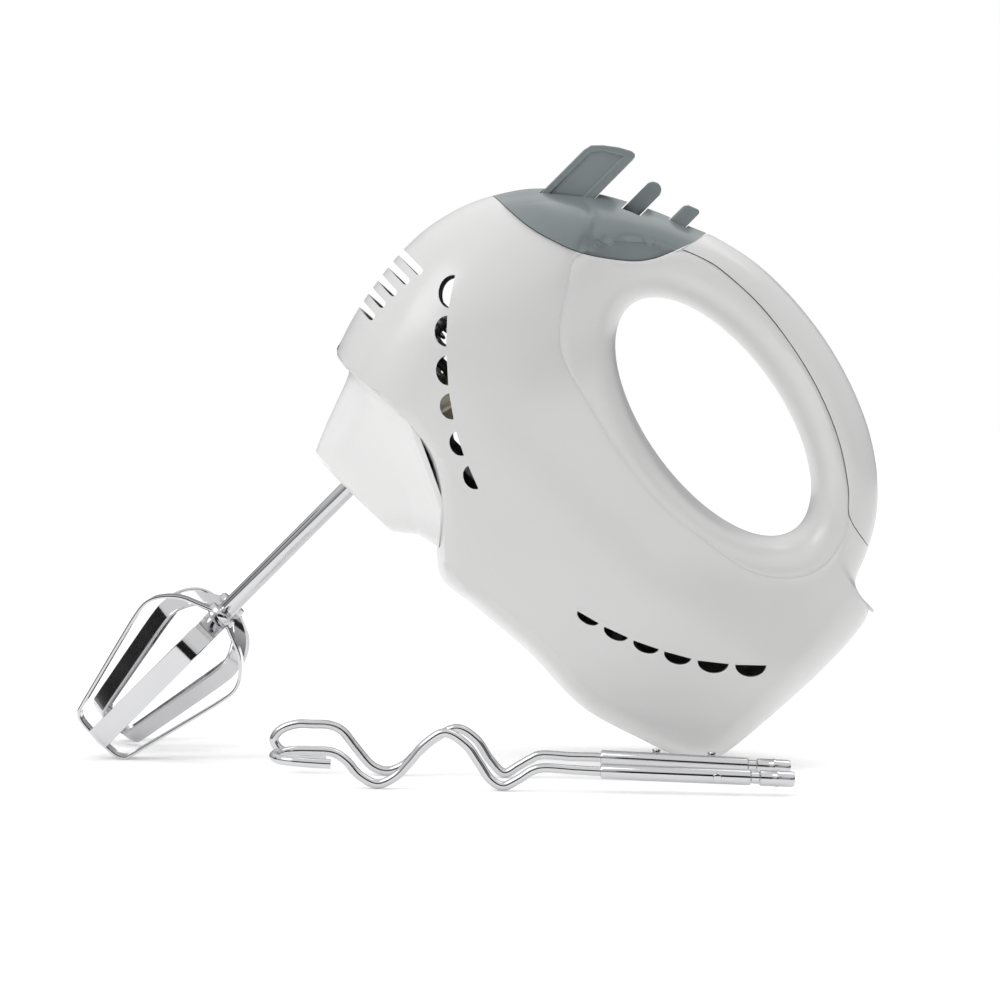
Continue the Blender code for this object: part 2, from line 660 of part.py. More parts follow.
def build_armature():
    """Motor shaft with its worm, the wound core, commutator and fan, all turning together."""
    shaft = turned(
        "shaft",
        [
            (0, 118.5), (2.2, 118.5), (3, 117.5), (3, 20), (WORM_CORE, 13.5), (WORM_CORE, -13.5),
            (2.4, -15), (2.4, -25.5), (1.8, -26.2), (0, -26.2),
        ],
        (0, 0, AXIS_Z), "x", 14, closed=False,
    )
    steps = 12
    turns = 3.5
    rows = []
    for k in range(int(turns * steps) + 1):
        a = 2 * math.pi * k / steps
        along = WORM_PITCH * (k / steps - turns / 2 - 0.25)
        row = []
        for radius, half in ((WORM_CORE - 0.4, -1.25), (WORM_TIP, -0.5), (WORM_TIP, 0.5), (WORM_CORE - 0.4, 1.25)):
            row.append((along + half, radius * math.cos(a), AXIS_Z + radius * math.sin(a)))
        rows.append(row)
    thread = baked(ring_stack("thread", rows, True, True))
    shaft = combine(shaft, thread, "UNION")
    finish(shaft, "armature_shaft", "steel", (0, 0, AXIS_Z))

    core = rod("core", 14.2, (53, 0, AXIS_Z), 30, "x", 36)
    for k in range(9):
        a = 2 * math.pi * k / 9
        slot = box("slot", (50, -1.3, 9.5), (86, 1.3, 20))
        slot.data.transform(Matrix.Rotation(a, 4, "X"))
        slot.data.transform(Matrix.Translation((0, 0, AXIS_Z * MM)))
        core = combine(core, slot, "DIFFERENCE")
    core = combine(core, rod("core_bore", 3.3, (50, 0, AXIS_Z), 40, "x", 16), "DIFFERENCE")
    finish(core, "armature_core", "lamination", (68, 0, AXIS_Z))
    for label, low in (("front", 46.2), ("rear", 83.3)):
        coil = turned(
            "winding", [(3.4, low + 6.4), (8.5, low + 6.4), (11, low + 4.6), (11, low + 1.8), (8.5, low), (3.4, low)],
            (0, 0, AXIS_Z), "x", 18,
        )
        finish(coil, f"armature_winding_{label}", "copper", (low, 0, AXIS_Z))
    ring = turned(
        "commutator", [(3.4, 103), (8, 103), (8, 93), (9.2, 93), (9.2, 91), (3.4, 91)], (0, 0, AXIS_Z), "x", 18
    )
    finish(ring, "commutator", "copper", (97, 0, AXIS_Z))
    fan = turned("fan", [(3.4, 45.4), (6, 45.4), (6, 38.6), (20.5, 38.6), (20.5, 37.2), (3.4, 37.2)], (0, 0, AXIS_Z), "x", 20)
    for k in range(7):
        blade = box("blade", (38.2, -0.7, 5), (45.4, 0.7, 20.1))
        blade.data.transform(Matrix.Rotation(2 * math.pi * k / 7 + 0.1, 4, "X"))
        blade.data.transform(Matrix.Translation((0, 0, AXIS_Z * MM)))
        fan = combine(fan, blade, "UNION")
    finish(fan, "cooling_fan", "black_plastic", (41, 0, AXIS_Z))


def build_bearings():
    for label, low, high, inner in (("nose", -22.5, -17.5, 2.7), ("front", 24.6, 29.6, 3.3), ("rear", 107.5, 113, 3.3)):
        ring = turned(
            "bearing", [(inner, high), (5.4, high), (5.4, low), (inner, low)], (0, 0, AXIS_Z), "x", 18
        )
        finish(ring, f"bearing_{label}", "bronze", (low, 0, AXIS_Z))


def build_motor():
    """Stator core with two field coils, the rear bearing plate and the brushes."""
    core = box("stator", (53, -24, AXIS_Z - 22), (83, 24, AXIS_Z + 22), 4)
    window = box("window", (40, -19, AXIS_Z - 16), (96, 19, AXIS_Z + 16))
    for side in (-1, 1):
        pole = box("pole", (30, -12.7, AXIS_Z + side * 12.5 - 5), (100, 12.7, AXIS_Z + side * 12.5 + 5))
        window = combine(window, pole, "DIFFERENCE")
    core = combine(core, window, "DIFFERENCE")
    core = combine(core, rod("stator_bore", 14.8, (40, 0, AXIS_Z), 60, "x", 32), "DIFFERENCE")
    finish(core, "stator_core", "lamination")
    for label, side in (("upper", 1), ("lower", -1)):
        half = [
            (0, 15.9, 10), (14, 15.9, 10), (17.6, 14.6, 12.4), (19.6, 9.5, 17.3), (20, 0, 19.2),
            (19.6, -9.5, 17.3), (17.6, -14.6, 12.4), (14, -15.9, 10), (0, -15.9, 10),
        ]
        back = [(-x, y, z) for x, y, z in reversed(half[1:-1])]
        path = [(68 + x, y, AXIS_Z + side * z) for x, y, z in half + back]
        coil = tube("coil", path, 2.4, 1, True)
        finish(coil, f"field_coil_{label}", "copper")
    plate = box("rear_plate", (107, -27, AXIS_Z - 24), (110.5, 27, AXIS_Z + 22), 1)
    collar = rod("collar", 8, (106.5, 0, AXIS_Z), 7, "x", 18)
    plate = combine(plate, collar, "UNION")
    plate = combine(plate, rod("plate_bore", 5.7, (100, 0, AXIS_Z), 20, "x", 18), "DIFFERENCE")
    for side in (-1, 1):
        for level in (-1, 1):
            hole = rod("air", 5, (100, side * 17, AXIS_Z + level * 13), 20, "x", 8)
            plate = combine(plate, hole, "DIFFERENCE")
    finish(plate, "rear_bearing_plate", "black_plastic")
    for label, side in (("left", -1), ("right", 1)):
        low, high = sorted((side * 9.6, side * 25))
        holder = box("holder", (93, low, AXIS_Z - 4.3), (101, high, AXIS_Z + 4.3))
        low, high = sorted((side * 5, side * 22.5))
        holder = combine(holder, box("holder_way", (94.2, low, AXIS_Z - 3), (99.8, high, AXIS_Z + 3)), "DIFFERENCE")
        finish(holder, f"brush_holder_{label}", "bronze")
        low, high = sorted((side * 8.3, side * 20))
        brush = box("brush", (94.5, low, AXIS_Z - 2.7), (99.5, high, AXIS_Z + 2.7))
        finish(brush, f"carbon_brush_{label}", "carbon")


def build_gear_frame():
    """Die-cast frame under the worm wheels, with walls that carry the worm's bearings."""
    frame = box("frame", (-25.5, -30, 33), (29.5, 30, 37), 1)
    frame = combine(frame, box("frame_nose", (-22.2, -9, 35), (-17.8, 9, 52.5)), "UNION")
    frame = combine(frame, box("frame_back", (25, -24, 35), (29.2, 24, 66)), "UNION")
    for start_x in (-40, 10):
        frame = combine(frame, rod("frame_bore", 5.7, (start_x, 0, AXIS_Z), 30, "x", 18), "DIFFERENCE")
    for side in (-1, 1):
        frame = combine(frame, rod("frame_hole", 7.7, (0, side * SPACING / 2, 20), 25, "z", 16), "DIFFERENCE")
    finish(frame, "gear_frame", "zinc")
    cover = box("cover", (-25.5, -30, 52.9), (24.6, 30, 55.4), 0.6)
    for side in (-1, 1):
        cover = combine(cover, rod("cover_hole", 5.5, (0, side * SPACING / 2, 40), 25, "z", 18), "DIFFERENCE")
    cover = combine(cover, rod("guide_hole", 2.7, (-18, 0, 40), 25, "z", 14), "DIFFERENCE")
    finish(cover, "gear_cover", "black_plastic")


def build_electrics():
    switch = box("switch", (-8, -12, 84), (22, 12, 101), 1)
    finish(switch, "speed_switch", "black_plastic")
    small = box("turbo_switch_work", (9, -5, 118.5), (20, 5, 125.2), 0.5)
    finish(small, "turbo_switch", "black_plastic")
    terminals = box("terminals", (128, -11, 58), (146, 11, 72), 1)
    for k in range(3):
        terminals = combine(
            terminals, rod("terminal_hole", 1.8, (137, -6.5 + 6.5 * k, 68), 10, "z", 10), "DIFFERENCE"
        )
    finish(terminals, "terminal_block", "black_plastic")
    gland = turned(
        "gland",
        [(2.4, 101.5), (5.6, 101.5), (6.2, 100.9), (6.2, 100.3), (4, 100.3), (4, 91), (2.4, 91)],
        (159.3, 0, 0), "z", 16,
    )
    finish(gland, "cord_gland", "white_plastic", (159.3, 0, 97))


def strip_loop(name, turn, lift):
    """One bent steel strip: from the hub out, down the taper and across the bottom."""
    half = []
    for k, (x, z) in enumerate(CAGE_LINE):
        z += -lift if k == 0 else lift * max(0, k - 7) / 4
        half.append((x, z))
    line = half + [(-x, z) for x, z in reversed(half[:-1])]
    bm = bmesh.new()
    front = [bm.verts.new((x * MM, -STRIP_W / 2 * MM, z * MM)) for x, z in line]
    back = [bm.verts.new((x * MM, STRIP_W / 2 * MM, z * MM)) for x, z in line]
    for k in range(len(line) - 1):
        bm.faces.new((front[k], front[k + 1], back[k + 1], back[k]))
    strip = from_bmesh(name, bm)
    thicken = strip.modifiers.new("solidify", "SOLIDIFY")
    thicken.thickness = STRIP_T * MM
    thicken.offset = 0
    thicken.use_even_offset = True
    return baked(strip, Matrix.Rotation(math.radians(turn), 4, "Z"))


def build_beater(label, side, turn):
    """Chromed beater: a round shaft and a cage of two crossed strip loops fixed to its end."""
    y = side * SPACING / 2
    cage = combine(strip_loop("loop_a", turn, 0), strip_loop("loop_b", turn + 90, 0.9), "UNION")
    hub = turned(
        "hub", [(3.4, HUB_Z + 2.4), (5.4, HUB_Z + 2.4), (5.4, HUB_Z - 1.2), (3.4, HUB_Z - 1.2)], (0, 0, 0), "z", 16
    )
    cage = combine(cage, hub, "UNION")
    cage.data.transform(Matrix.Translation((0, y * MM, 0)))
    finish(cage, f"beater_cage_{label}", "chromed_steel", (0, y, HUB_Z))
    shaft = turned(
        "beater_shaft",
        [
            (0, SHAFT_TOP), (1.9, SHAFT_TOP), (SHAFT_R, SHAFT_TOP - 1.6), (SHAFT_R, 45), (2.5, 44), (2.5, 42.4),
            (SHAFT_R, 41.4), (SHAFT_R, HUB_Z - 1.2), (2.4, HUB_Z - 2.2), (0, HUB_Z - 2.2),
        ],
        (0, y, 0), "z", 18, closed=False,
    )
    finish(shaft, f"beater_shaft_{label}", "chromed_steel", (0, y, 0))


def build_hook(label, sleeve, bend, y, lugs):
    """Kneading hook lying beside the mixer: a drive sleeve pushed on a waved rod with a turned-back end."""
    left, right = Vector(sleeve[0]), Vector(sleeve[1])
    along = (right - left).normalized()
    length = (right - left).length
    turn = Vector((0, 0, 1)).rotation_difference(along).to_matrix().to_4x4()
    body = turned(
        "hook_sleeve_work",
        [
            (HOOK_ROD_R + GAP, 0), (HOOK_SLEEVE_R - 0.4, 0), (HOOK_SLEEVE_R, 0.6), (HOOK_SLEEVE_R, length - 15),
            (HOOK_SLEEVE_R - 0.7, length - 14.4), (HOOK_SLEEVE_R - 0.7, length - 12.2), (HOOK_SLEEVE_R, length - 11.6),
            (HOOK_SLEEVE_R, length - 1.2), (HOOK_SLEEVE_R - 1, length), (HOOK_ROD_R + GAP, length),
        ],
        (0, 0, 0), "z", 12,
    )
    for at, facing in lugs:
        lug = rod("lug", 1.5, (0, 0, 0), 1.8, "x", 8)
        lug.data.transform(Matrix.Translation((2.2 * MM, 0, at * MM)))
        lug.data.transform(Matrix.Rotation(math.radians(facing), 4, "Z"))
        body = combine(body, lug, "UNION")
    body.data.transform(turn)
    body.data.transform(Matrix.Translation(left * MM))
    finish(body, f"hook_sleeve_{label}", "chromed_steel", (left.x, y, 0), HOOKS)
    tail = left + along * (length * 0.55)
    path = [tail, left - along * 2] + smooth_path(bend, 2)
    wire = tube("hook_wire_work", path, HOOK_ROD_R, 1)
    finish(wire, f"hook_rod_{label}", "chromed_steel", (left.x, y, 0), HOOKS)


def build_hooks():
    """One hook ends in a flat turned-back loop, the other in a standing one."""
    near = -86.0
    wave = [
        (97.5, near, 7.5), (88, near, 8), (83.5, near, 6.9), (79.1, near, 4), (74, near, 1.65), (69.5, near, 4),
        (65.5, near, 9.7), (61.2, near, 15.4), (54.3, near, 19.2), (47.6, near, 15.2), (42.5, near, 9.1), (37.8, near, 4.2),
        (31.9, near, 1.65), (25.9, near, 4.4), (21.4, near, 9.2), (16.7, near, 12),
    ]
    end = [(10, near, 12.4), (4, near, 12.3), (-0.6, near - 2.6, 12), (-2.4, near - 7.3, 11.5), (-0.6, near - 12, 11), (4, near - 14.6, 10.7), (10, near - 14.6, 10.3), (17, near - 14.6, 10)]
    build_hook("near", [(106.4, near, 7.2), (171.4, near, 5.6)], wave + end, near, [(18.3, 90), (39, -90)])
    far = -54.0
    wave = [
        (97, far, 7.7), (87.3, far, 8.1), (83, far, 6.4), (79.3, far, 4.2), (74.2, far, 1.65), (69.2, far, 6.4),
        (64.6, far, 13), (57.8, far, 16.8), (50, far, 13), (44.5, far, 8.2), (39.7, far, 3.7),
        (34, far, 1.65), (28.4, far, 3.6), (22.9, far, 9.8), (18.4, far, 15.2),
    ]
    end = [(13.9, far, 17.2), (8, far, 17.4), (2.6, far, 17.3), (-2.6, far, 15.4), (-5.1, far, 12), (-3.4, far, 8.8), (1.4, far, 6.8), (7, far, 6.5), (13, far, 6.6)]
    build_hook("far", [(107.4, far, 7.6), (172.4, far, 5.8)], wave + end, far, [(19.2, 90), (38.3, -90)])


def main():
    build_housing()
    build_cap_and_strip()
    build_snout()
    build_screws()
    build_controls()
    build_eject()
    for label, side, turn in (("left", -1, 0), ("right", 1, 45)):
        build_worm_wheel(label, side)
        build_bush(label, side)
        build_beater(label, side, turn)
    build_armature()
    build_bearings()
    build_motor()
    build_gear_frame()
    build_electrics()
    build_hooks()


main()
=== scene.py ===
import json
import math
import bmesh
import bpy
import numpy as np
from mathutils import Matrix, Vector


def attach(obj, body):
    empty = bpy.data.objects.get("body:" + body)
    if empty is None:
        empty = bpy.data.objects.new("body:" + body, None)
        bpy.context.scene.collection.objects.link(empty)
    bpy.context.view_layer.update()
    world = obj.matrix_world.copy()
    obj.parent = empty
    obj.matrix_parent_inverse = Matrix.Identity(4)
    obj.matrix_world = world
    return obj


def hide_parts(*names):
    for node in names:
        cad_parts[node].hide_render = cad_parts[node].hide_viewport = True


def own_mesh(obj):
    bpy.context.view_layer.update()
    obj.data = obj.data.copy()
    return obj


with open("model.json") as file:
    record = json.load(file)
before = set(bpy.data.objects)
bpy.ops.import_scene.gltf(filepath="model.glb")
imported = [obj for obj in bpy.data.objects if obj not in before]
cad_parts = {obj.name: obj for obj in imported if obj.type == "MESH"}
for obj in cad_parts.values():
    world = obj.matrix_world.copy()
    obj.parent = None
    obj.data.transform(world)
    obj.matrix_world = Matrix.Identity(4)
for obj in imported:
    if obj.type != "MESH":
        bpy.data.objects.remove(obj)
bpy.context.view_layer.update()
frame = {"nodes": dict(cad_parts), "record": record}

# Camera, table and lights.
# A long lens looks across a plain white table, a little above the mixer's middle. Two large soft panels light it,
# in a room that is white above and dim at eye level; black boards out of view shade the near side and the chrome.
MIXER_AT = Vector((-0.0474, 0.0291, 0.09726))
LEAN = math.radians(44)
mixer_place = Matrix.Translation(MIXER_AT) @ Matrix.Rotation(LEAN, 4, "Y")
aim = mixer_place @ Vector((0.0416, 0, 0.0342))
CAMERA_AWAY = 1.15
CAMERA_ROLL = math.radians(1.0)
rise = math.radians(3)
camera_data = bpy.data.cameras.new("camera")
camera_data.sensor_width = 36
camera_data.lens = 115
camera_data.clip_end = 20
camera = bpy.data.objects.new("camera", camera_data)
camera.location = aim + Vector((0, -CAMERA_AWAY * math.cos(rise), CAMERA_AWAY * math.sin(rise)))
camera.rotation_euler = (math.pi / 2 - rise, 0, 0)
camera.rotation_euler.rotate_axis("Z", CAMERA_ROLL)
bpy.context.scene.collection.objects.link(camera)
bpy.context.scene.camera = camera

table_bm = bmesh.new()
bmesh.ops.create_grid(table_bm, x_segments=8, y_segments=8, size=4)
table_mesh = bpy.data.meshes.new("table")
table_bm.to_mesh(table_mesh)
table_bm.free()
table = bpy.data.objects.new("table", table_mesh)
bpy.context.scene.collection.objects.link(table)
table_paint = bpy.data.materials.new("table_white")
table_paint.use_nodes = True
table_shader = table_paint.node_tree.nodes["Principled BSDF"]
table_shader.inputs["Base Color"].default_value = (0.93, 0.93, 0.93, 1)
table_shader.inputs["Roughness"].default_value = 0.7
table_shader.inputs["Emission Color"].default_value = (1, 1, 1, 1)
table_shader.inputs["Emission Strength"].default_value = 0.22
table_mesh.materials.append(table_paint)

world = bpy.data.worlds.new("room")
world.use_nodes = True
sky_nodes = world.node_tree.nodes
sky_links = world.node_tree.links
sky = sky_nodes["Background"]
sky_place = sky_nodes.new("ShaderNodeTexCoord")
sky_split = sky_nodes.new("ShaderNodeSeparateXYZ")
sky_height = sky_nodes.new("ShaderNodeMapRange")
sky_height.inputs["From Min"].default_value = -1
sky_shade = sky_nodes.new("ShaderNodeValToRGB")
sky_shade.color_ramp.elements[0].position = 0.5
sky_shade.color_ramp.elements[0].color = (0.16, 0.16, 0.17, 1)
sky_shade.color_ramp.elements[1].position = 0.8
sky_shade.color_ramp.elements[1].color = (1, 1, 1, 1)
sky_links.new(sky_place.outputs["Generated"], sky_split.inputs["Vector"])
sky_links.new(sky_split.outputs["Z"], sky_height.inputs["Value"])
sky_links.new(sky_height.outputs["Result"], sky_shade.inputs["Fac"])
sky_links.new(sky_shade.outputs["Color"], sky.inputs["Color"])
backdrop = sky_nodes.new("ShaderNodeBackground")
seen = sky_nodes.new("ShaderNodeLightPath")
either = sky_nodes.new("ShaderNodeMixShader")
sky_links.new(seen.outputs["Is Camera Ray"], either.inputs["Fac"])
sky_links.new(sky.outputs["Background"], either.inputs[1])
sky_links.new(backdrop.outputs["Background"], either.inputs[2])
sky_links.new(either.outputs["Shader"], sky_nodes["World Output"].inputs["Surface"])
backdrop.inputs["Color"].default_value = (1, 1, 1, 1)
bpy.context.scene.world = world
bpy.context.scene.view_settings.view_transform = "Standard"


def soft_panel(name, at, towards, size, watts):
    """A large square light panel turned to face a point."""
    data = bpy.data.lights.new(name, "AREA")
    data.shape = "RECTANGLE"
    data.size = size[0]
    data.size_y = size[1]
    data.energy = watts
    panel = bpy.data.objects.new(name, data)
    panel.location = at
    panel.rotation_euler = (Vector(towards) - Vector(at)).to_track_quat("-Z", "Y").to_euler()
    bpy.context.scene.collection.objects.link(panel)
    return panel


soft_panel("key_panel", (-0.9, -0.7, 1.3), (0, 0, 0.1), (0.9, 0.9), 7)
soft_panel("top_panel", (0.5, 0.5, 1.5), (0, 0, 0.1), (1.2, 0.8), 4)

board_paint = bpy.data.materials.new("board_black")
board_paint.use_nodes = True
board_shader = board_paint.node_tree.nodes["Principled BSDF"]
board_shader.inputs["Base Color"].default_value = (0.01, 0.01, 0.01, 1)
board_shader.inputs["Roughness"].default_value = 1.0


def black_board(name, at, towards, size):
    """A matt black board standing out of view, turned to face a point."""
    board_bm = bmesh.new()
    bmesh.ops.create_grid(board_bm, x_segments=1, y_segments=1, size=0.5)
    board_bm.transform(Matrix.Diagonal((size[0], size[1], 1, 1)))
    mesh = bpy.data.meshes.new(name)
    board_bm.to_mesh(mesh)
    board_bm.free()
    mesh.materials.append(board_paint)
    board = bpy.data.objects.new(name, mesh)
    facing = (Vector(towards) - Vector(at)).to_track_quat("-Z", "Y")
    board.matrix_world = Matrix.Translation(at) @ facing.to_matrix().to_4x4()
    bpy.context.scene.collection.objects.link(board)


black_board("board_camera", (0.25, -2.2, 0.55), (0, 0, 0.1), (2.2, 1.0))
black_board("board_right", (1.5, -0.9, 0.5), (0, 0, 0.1), (0.9, 0.9))
black_board("board_left", (-1.6, 0.1, 0.4), (0, 0, 0.1), (0.35, 0.9))
black_board("board_back", (0.9, 1.9, 0.5), (0, 0, 0.1), (0.4, 0.9))


# Housing shells.
# Two white gloss-moulded shells meet on a parting line down the middle and are held by five screws.
# A shallow groove rings the hand hole, and half-moon and slot openings let the motor breathe.
MM = 0.001
WALL = 2.2
HALF_SEAM = 0.15
GLAND_X = 159.3
BEATER_Y = 21.5  # each beater's distance from the parting line
# Outline in side view: x to the rear, z up, and the depth of the rounding behind each point.
OUTLINE = [
    (-37.6, 30.6, 9), (-39.4, 35, 17), (-42.7, 46, 30), (-45.2, 60, 36), (-46.4, 73, 38),
    (-46, 84, 38), (-43.9, 94, 36), (-41, 102.5, 32), (-36.5, 111, 28), (-30, 120.4, 24),
    (-21, 129, 22), (-11, 136.8, 20), (0, 143, 18), (10, 147.8, 16), (20, 151.6, 14),
    (30, 155.6, 13), (45, 159, 13), (60, 159.8, 13), (75, 158.7, 13), (88, 156.4, 13),
    (101, 152.7, 13), (114, 147.4, 13), (125, 141, 13), (134, 133.8, 13), (142, 125, 13),
    (147.6, 115.5, 13), (151.4, 106.5, 13), (153.8, 103, 12), (158.6, 101.4, 12), (163.2, 100.2, 12),
    (165.6, 95, 14), (166.7, 85, 16), (166.8, 72, 16), (166, 58, 16), (165, 44, 16),
    (163.8, 32, 15), (161.6, 22.5, 12), (157, 16.4, 10), (147, 12.3, 9), (137.5, 9.2, 9),
    (128, 6, 9), (118, 3.2, 9), (108, 2.2, 9), (97, 2.7, 9), (86, 3, 9),
    (73, 2, 9), (60, 0.8, 9), (50.5, -0.5, 8), (45, 0.2, 7), (40, 3.8, 5),
    (33.5, 10, 4.5), (26.5, 17, 4.5), (18.5, 23.2, 4.5), (9.5, 27.8, 4.5), (-1, 29.8, 4.5),
    (-12, 30.3, 4.5), (-23, 29.8, 4.5), (-32, 29, 6),
]
HOLE = (74.7, 109.6)
HOLE_HALF = (50, 24.2)
HOLE_TURN = math.radians(9)
HOLE_ROUND = 11.0
# The groove's course around the hand hole, and its depth from column to column across it.
GROOVE_DEPTHS = {1: 0.35, 2: 0.75, 3: 0.35}
RING_LINE = [
    (132.7, 118.4), (137, 111.6), (138.8, 100.8), (134.5, 90), (121.9, 80.3), (103.9, 76.3), (82.3, 74.2),
    (60.7, 76), (39.1, 81), (17.5, 88.2), (3.1, 106.2), (-0.5, 116.6), (10.3, 124.2), (17.5, 131.4),
    (24.7, 143.3), (39, 147.6), (57.1, 148.7), (75, 146.2), (93, 142.2), (111, 134.6), (125.5, 125.3),
]
GRIP_WIDTHS = [(0, 40), (20, 43.5), (38, 44), (54, 44), (66, 40), (78, 31), (92, 24), (106, 19.5), (120, 17), (150, 16)]
NOSE_WIDTHS = [
    (0, 40), (30, 43.5), (38, 44), (58, 44), (80, 40.5), (100, 34), (115, 28.5), (130, 23), (145, 18.5), (157, 16),
]
NOSE_FRONT = ((30.6, 35, 46, 60, 73, 84, 94, 102), (-37.6, -39.4, -42.7, -45.2, -46.4, -46, -43.9, -41))
NOSE_ROUND = 36


def rounded_through(points, per_span, closed):
    """Points along a smooth line through the given ones."""
    given = [Vector(p) for p in points]
    out = []
    spans = len(given) if closed else len(given) - 1
    for i in range(spans):
        if closed:
            a, b, c, d = (given[(i + k) % len(given)] for k in (-1, 0, 1, 2))
        else:
            a, b, c, d = (given[min(max(i + k, 0), len(given) - 1)] for k in (-1, 0, 1, 2))
        for k in range(per_span):
            t = k / per_span
            out.append(0.5 * (2 * b + (c - a) * t + (2 * a - 5 * b + 4 * c - d) * t**2 + (3 * b - a - 3 * c + d) * t**3))
    if not closed:
        out.append(given[-1])
    return out


def polar_table(points, column=None):
    """Angle and radius (or another column) of a closed line seen from the hand hole's centre."""
    angles = np.array([math.atan2(p[1] - HOLE[1], p[0] - HOLE[0]) for p in points])
    values = np.array([math.hypot(p[0] - HOLE[0], p[1] - HOLE[1]) if column is None else p[column] for p in points])
    order = np.argsort(angles)
    angles, values = angles[order], values[order]
    turn = 2 * math.pi
    return np.concatenate((angles - turn, angles, angles + turn)), np.concatenate((values, values, values))


def smooth_table(table, value):
    """A table's value with its corners rounded."""
    low, high = value - 5, value + 5
    grid = np.linspace(low, high, 9)
    return float(np.mean(np.interp(grid, [t[0] for t in table], [t[1] for t in table])))


def ease(low, high, value):
    """Rises smoothly from 0 to 1 as value goes from low to high."""
    t = min(max((value - low) / (high - low), 0), 1)
    return t * t * (3 - 2 * t)


fine_outline = rounded_through(OUTLINE, 4, True)
outer_at = polar_table(fine_outline)
depth_at = polar_table(fine_outline, 2)
ring_at = polar_table(rounded_through([(x, z, 0) for x, z in RING_LINE], 8, True))
row_angles = [math.atan2(p[1] - HOLE[1], p[0] - HOLE[0]) for p in fine_outline]


def hole_radius(angle):
    """Distance from the hand hole's centre to its oval edge."""
    long, short = HOLE_HALF
    own = angle + HOLE_TURN
    return long * short / math.hypot(short * math.cos(own), long * math.sin(own))


def half_width(x, z):
    """Half of the body's width, blended from the nose's run of widths to the grip's and drawn in at the heel."""
    nose = ease(34, -6, x)
    across = smooth_table(GRIP_WIDTHS, z) * (1 - nose) + smooth_table(NOSE_WIDTHS, z) * nose
    return across * (1 - 0.26 * ease(96, 170, x))


def skin_point(angle, radius, inset):
    """The outer face's point at a polar place of the side view, or the inner face's."""
    outer = float(np.interp(angle, *outer_at)) - inset
    inner = hole_radius(angle) + inset
    depth = float(np.interp(angle, *depth_at))
    inside = HOLE_ROUND
    if depth + inside > outer - inner:
        share = (outer - inner) / (depth + inside)
        depth, inside = depth * share, inside * share
    from_rim = min(max(1 - (outer - radius) / depth, 0), 1)
    from_hole = min(max(1 - (radius - inner) / inside, 0), 1)
    x = HOLE[0] + radius * math.cos(angle)
    z = HOLE[1] + radius * math.sin(angle)
    wide = half_width(x, z) - inset
    y = wide * math.sqrt(1 - from_rim**2) * math.sqrt(1 - from_hole**2)
    if x < 0:
        front = float(np.interp(z, NOSE_FRONT[0], NOSE_FRONT[1]))
        bullet = wide * math.sqrt(1 - (1 - min(max((x - front - inset) / NOSE_ROUND, 0), 1)) ** 2)
        y += (min(y, bullet) - y) * ease(98, 78, z)
    return x, y, z


def skin_rows(inset, columns, relief, angles):
    """A grid of skin points from the hand hole's edge out to the outline, with a groove on the ring line."""
    rows = []
    for angle in angles:
        outer = float(np.interp(angle, *outer_at)) - inset
        inner = hole_radius(angle) + inset
        ring = min(max(float(np.interp(angle, *ring_at)), inner + 3), outer - 3)
        stations = [inner + (ring - 1.4 - inner) * (1 - math.cos(math.pi / 2 * k / columns)) for k in range(columns)]
        stations += [ring - 1.4, ring - 0.7, ring, ring + 0.7, ring + 1.4]
        wide = int(columns * 2.2)
        stations += [ring + 1.4 + (outer - ring - 1.4) * math.sin(math.pi / 2 * k / wide) for k in range(1, wide + 1)]
        row = []
        for k, radius in enumerate(stations):
            x, y, z = skin_point(angle, radius, inset)
            row.append((x, max(y - relief(x, y, z, k - columns), 0), z))
        rows.append(row)
    return rows


def ring_groove(x, y, z, column):
    """Depth of the groove beside the ring line, in the columns that run along it."""
    return GROOVE_DEPTHS.get(column, 0)


def no_relief(x, y, z, column):
    return 0


def piece(name, data):
    obj = bpy.data.objects.new(name, data)
    bpy.context.scene.collection.objects.link(obj)
    return obj


def piece_of(name, bm):
    """A new piece from a finished bmesh, which is used up."""
    mesh = bpy.data.meshes.new(name)
    bm.to_mesh(mesh)
    bm.free()
    return piece(name, mesh)


def skin_shell(name, sides, relief, columns=9, angles=None):
    """A wall between outer and inner faces, of one side all round or of both sides over a stretch of angles."""
    bm = bmesh.new()
    skins = []
    for inset, marks in ((0, relief), (WALL, no_relief)):
        rows = []
        for row in skin_rows(inset, columns, marks, row_angles if angles is None else angles):
            line = [(x, -y, z) for x, y, z in row]
            if sides == 0:
                line += [(x, y, z) for x, y, z in reversed(row[1:-1])]
            rows.append([bm.verts.new(Vector(p) * MM) for p in line])
        faces = []
        width = len(rows[0])
        for i, row in enumerate(rows if angles is None else rows[:-1]):
            after = rows[(i + 1) % len(rows)]
            for j in range(width if sides == 0 else width - 1):
                n = (j + 1) % width
                faces.append(bm.faces.new((row[j], row[n], after[n], after[j])))
        skins.append((rows, faces))
    if sides == 0:
        outer, inner = skins[0][0], skins[1][0]
        for i in (0, -1):
            width = len(outer[i])
            for j in range(width):
                n = (j + 1) % width
                bm.faces.new((outer[i][j], outer[i][n], inner[i][n], inner[i][j]))
        bmesh.ops.recalc_face_normals(bm, faces=bm.faces)
    else:
        outer, inner = skins[0][0], skins[1][0]
        for i in range(len(outer)):
            n = (i + 1) % len(outer)
            for j in (0, -1):
                bm.faces.new((outer[i][j], outer[n][j], inner[n][j], inner[i][j]))
        if sides > 0:
            bm.transform(Matrix.Scale(-1, 4, (0, 1, 0)))
        bmesh.ops.translate(bm, vec=(0, sides * HALF_SEAM * MM, 0), verts=bm.verts)
        bmesh.ops.recalc_face_normals(bm, faces=bm.faces)
    return piece_of(name, bm)


def modifiers_kept(obj):
    """The object with its modifiers worked into its mesh."""
    bpy.context.view_layer.update()
    graph = bpy.context.evaluated_depsgraph_get()
    obj.data = bpy.data.meshes.new_from_object(obj.evaluated_get(graph))
    obj.modifiers.clear()
    return obj


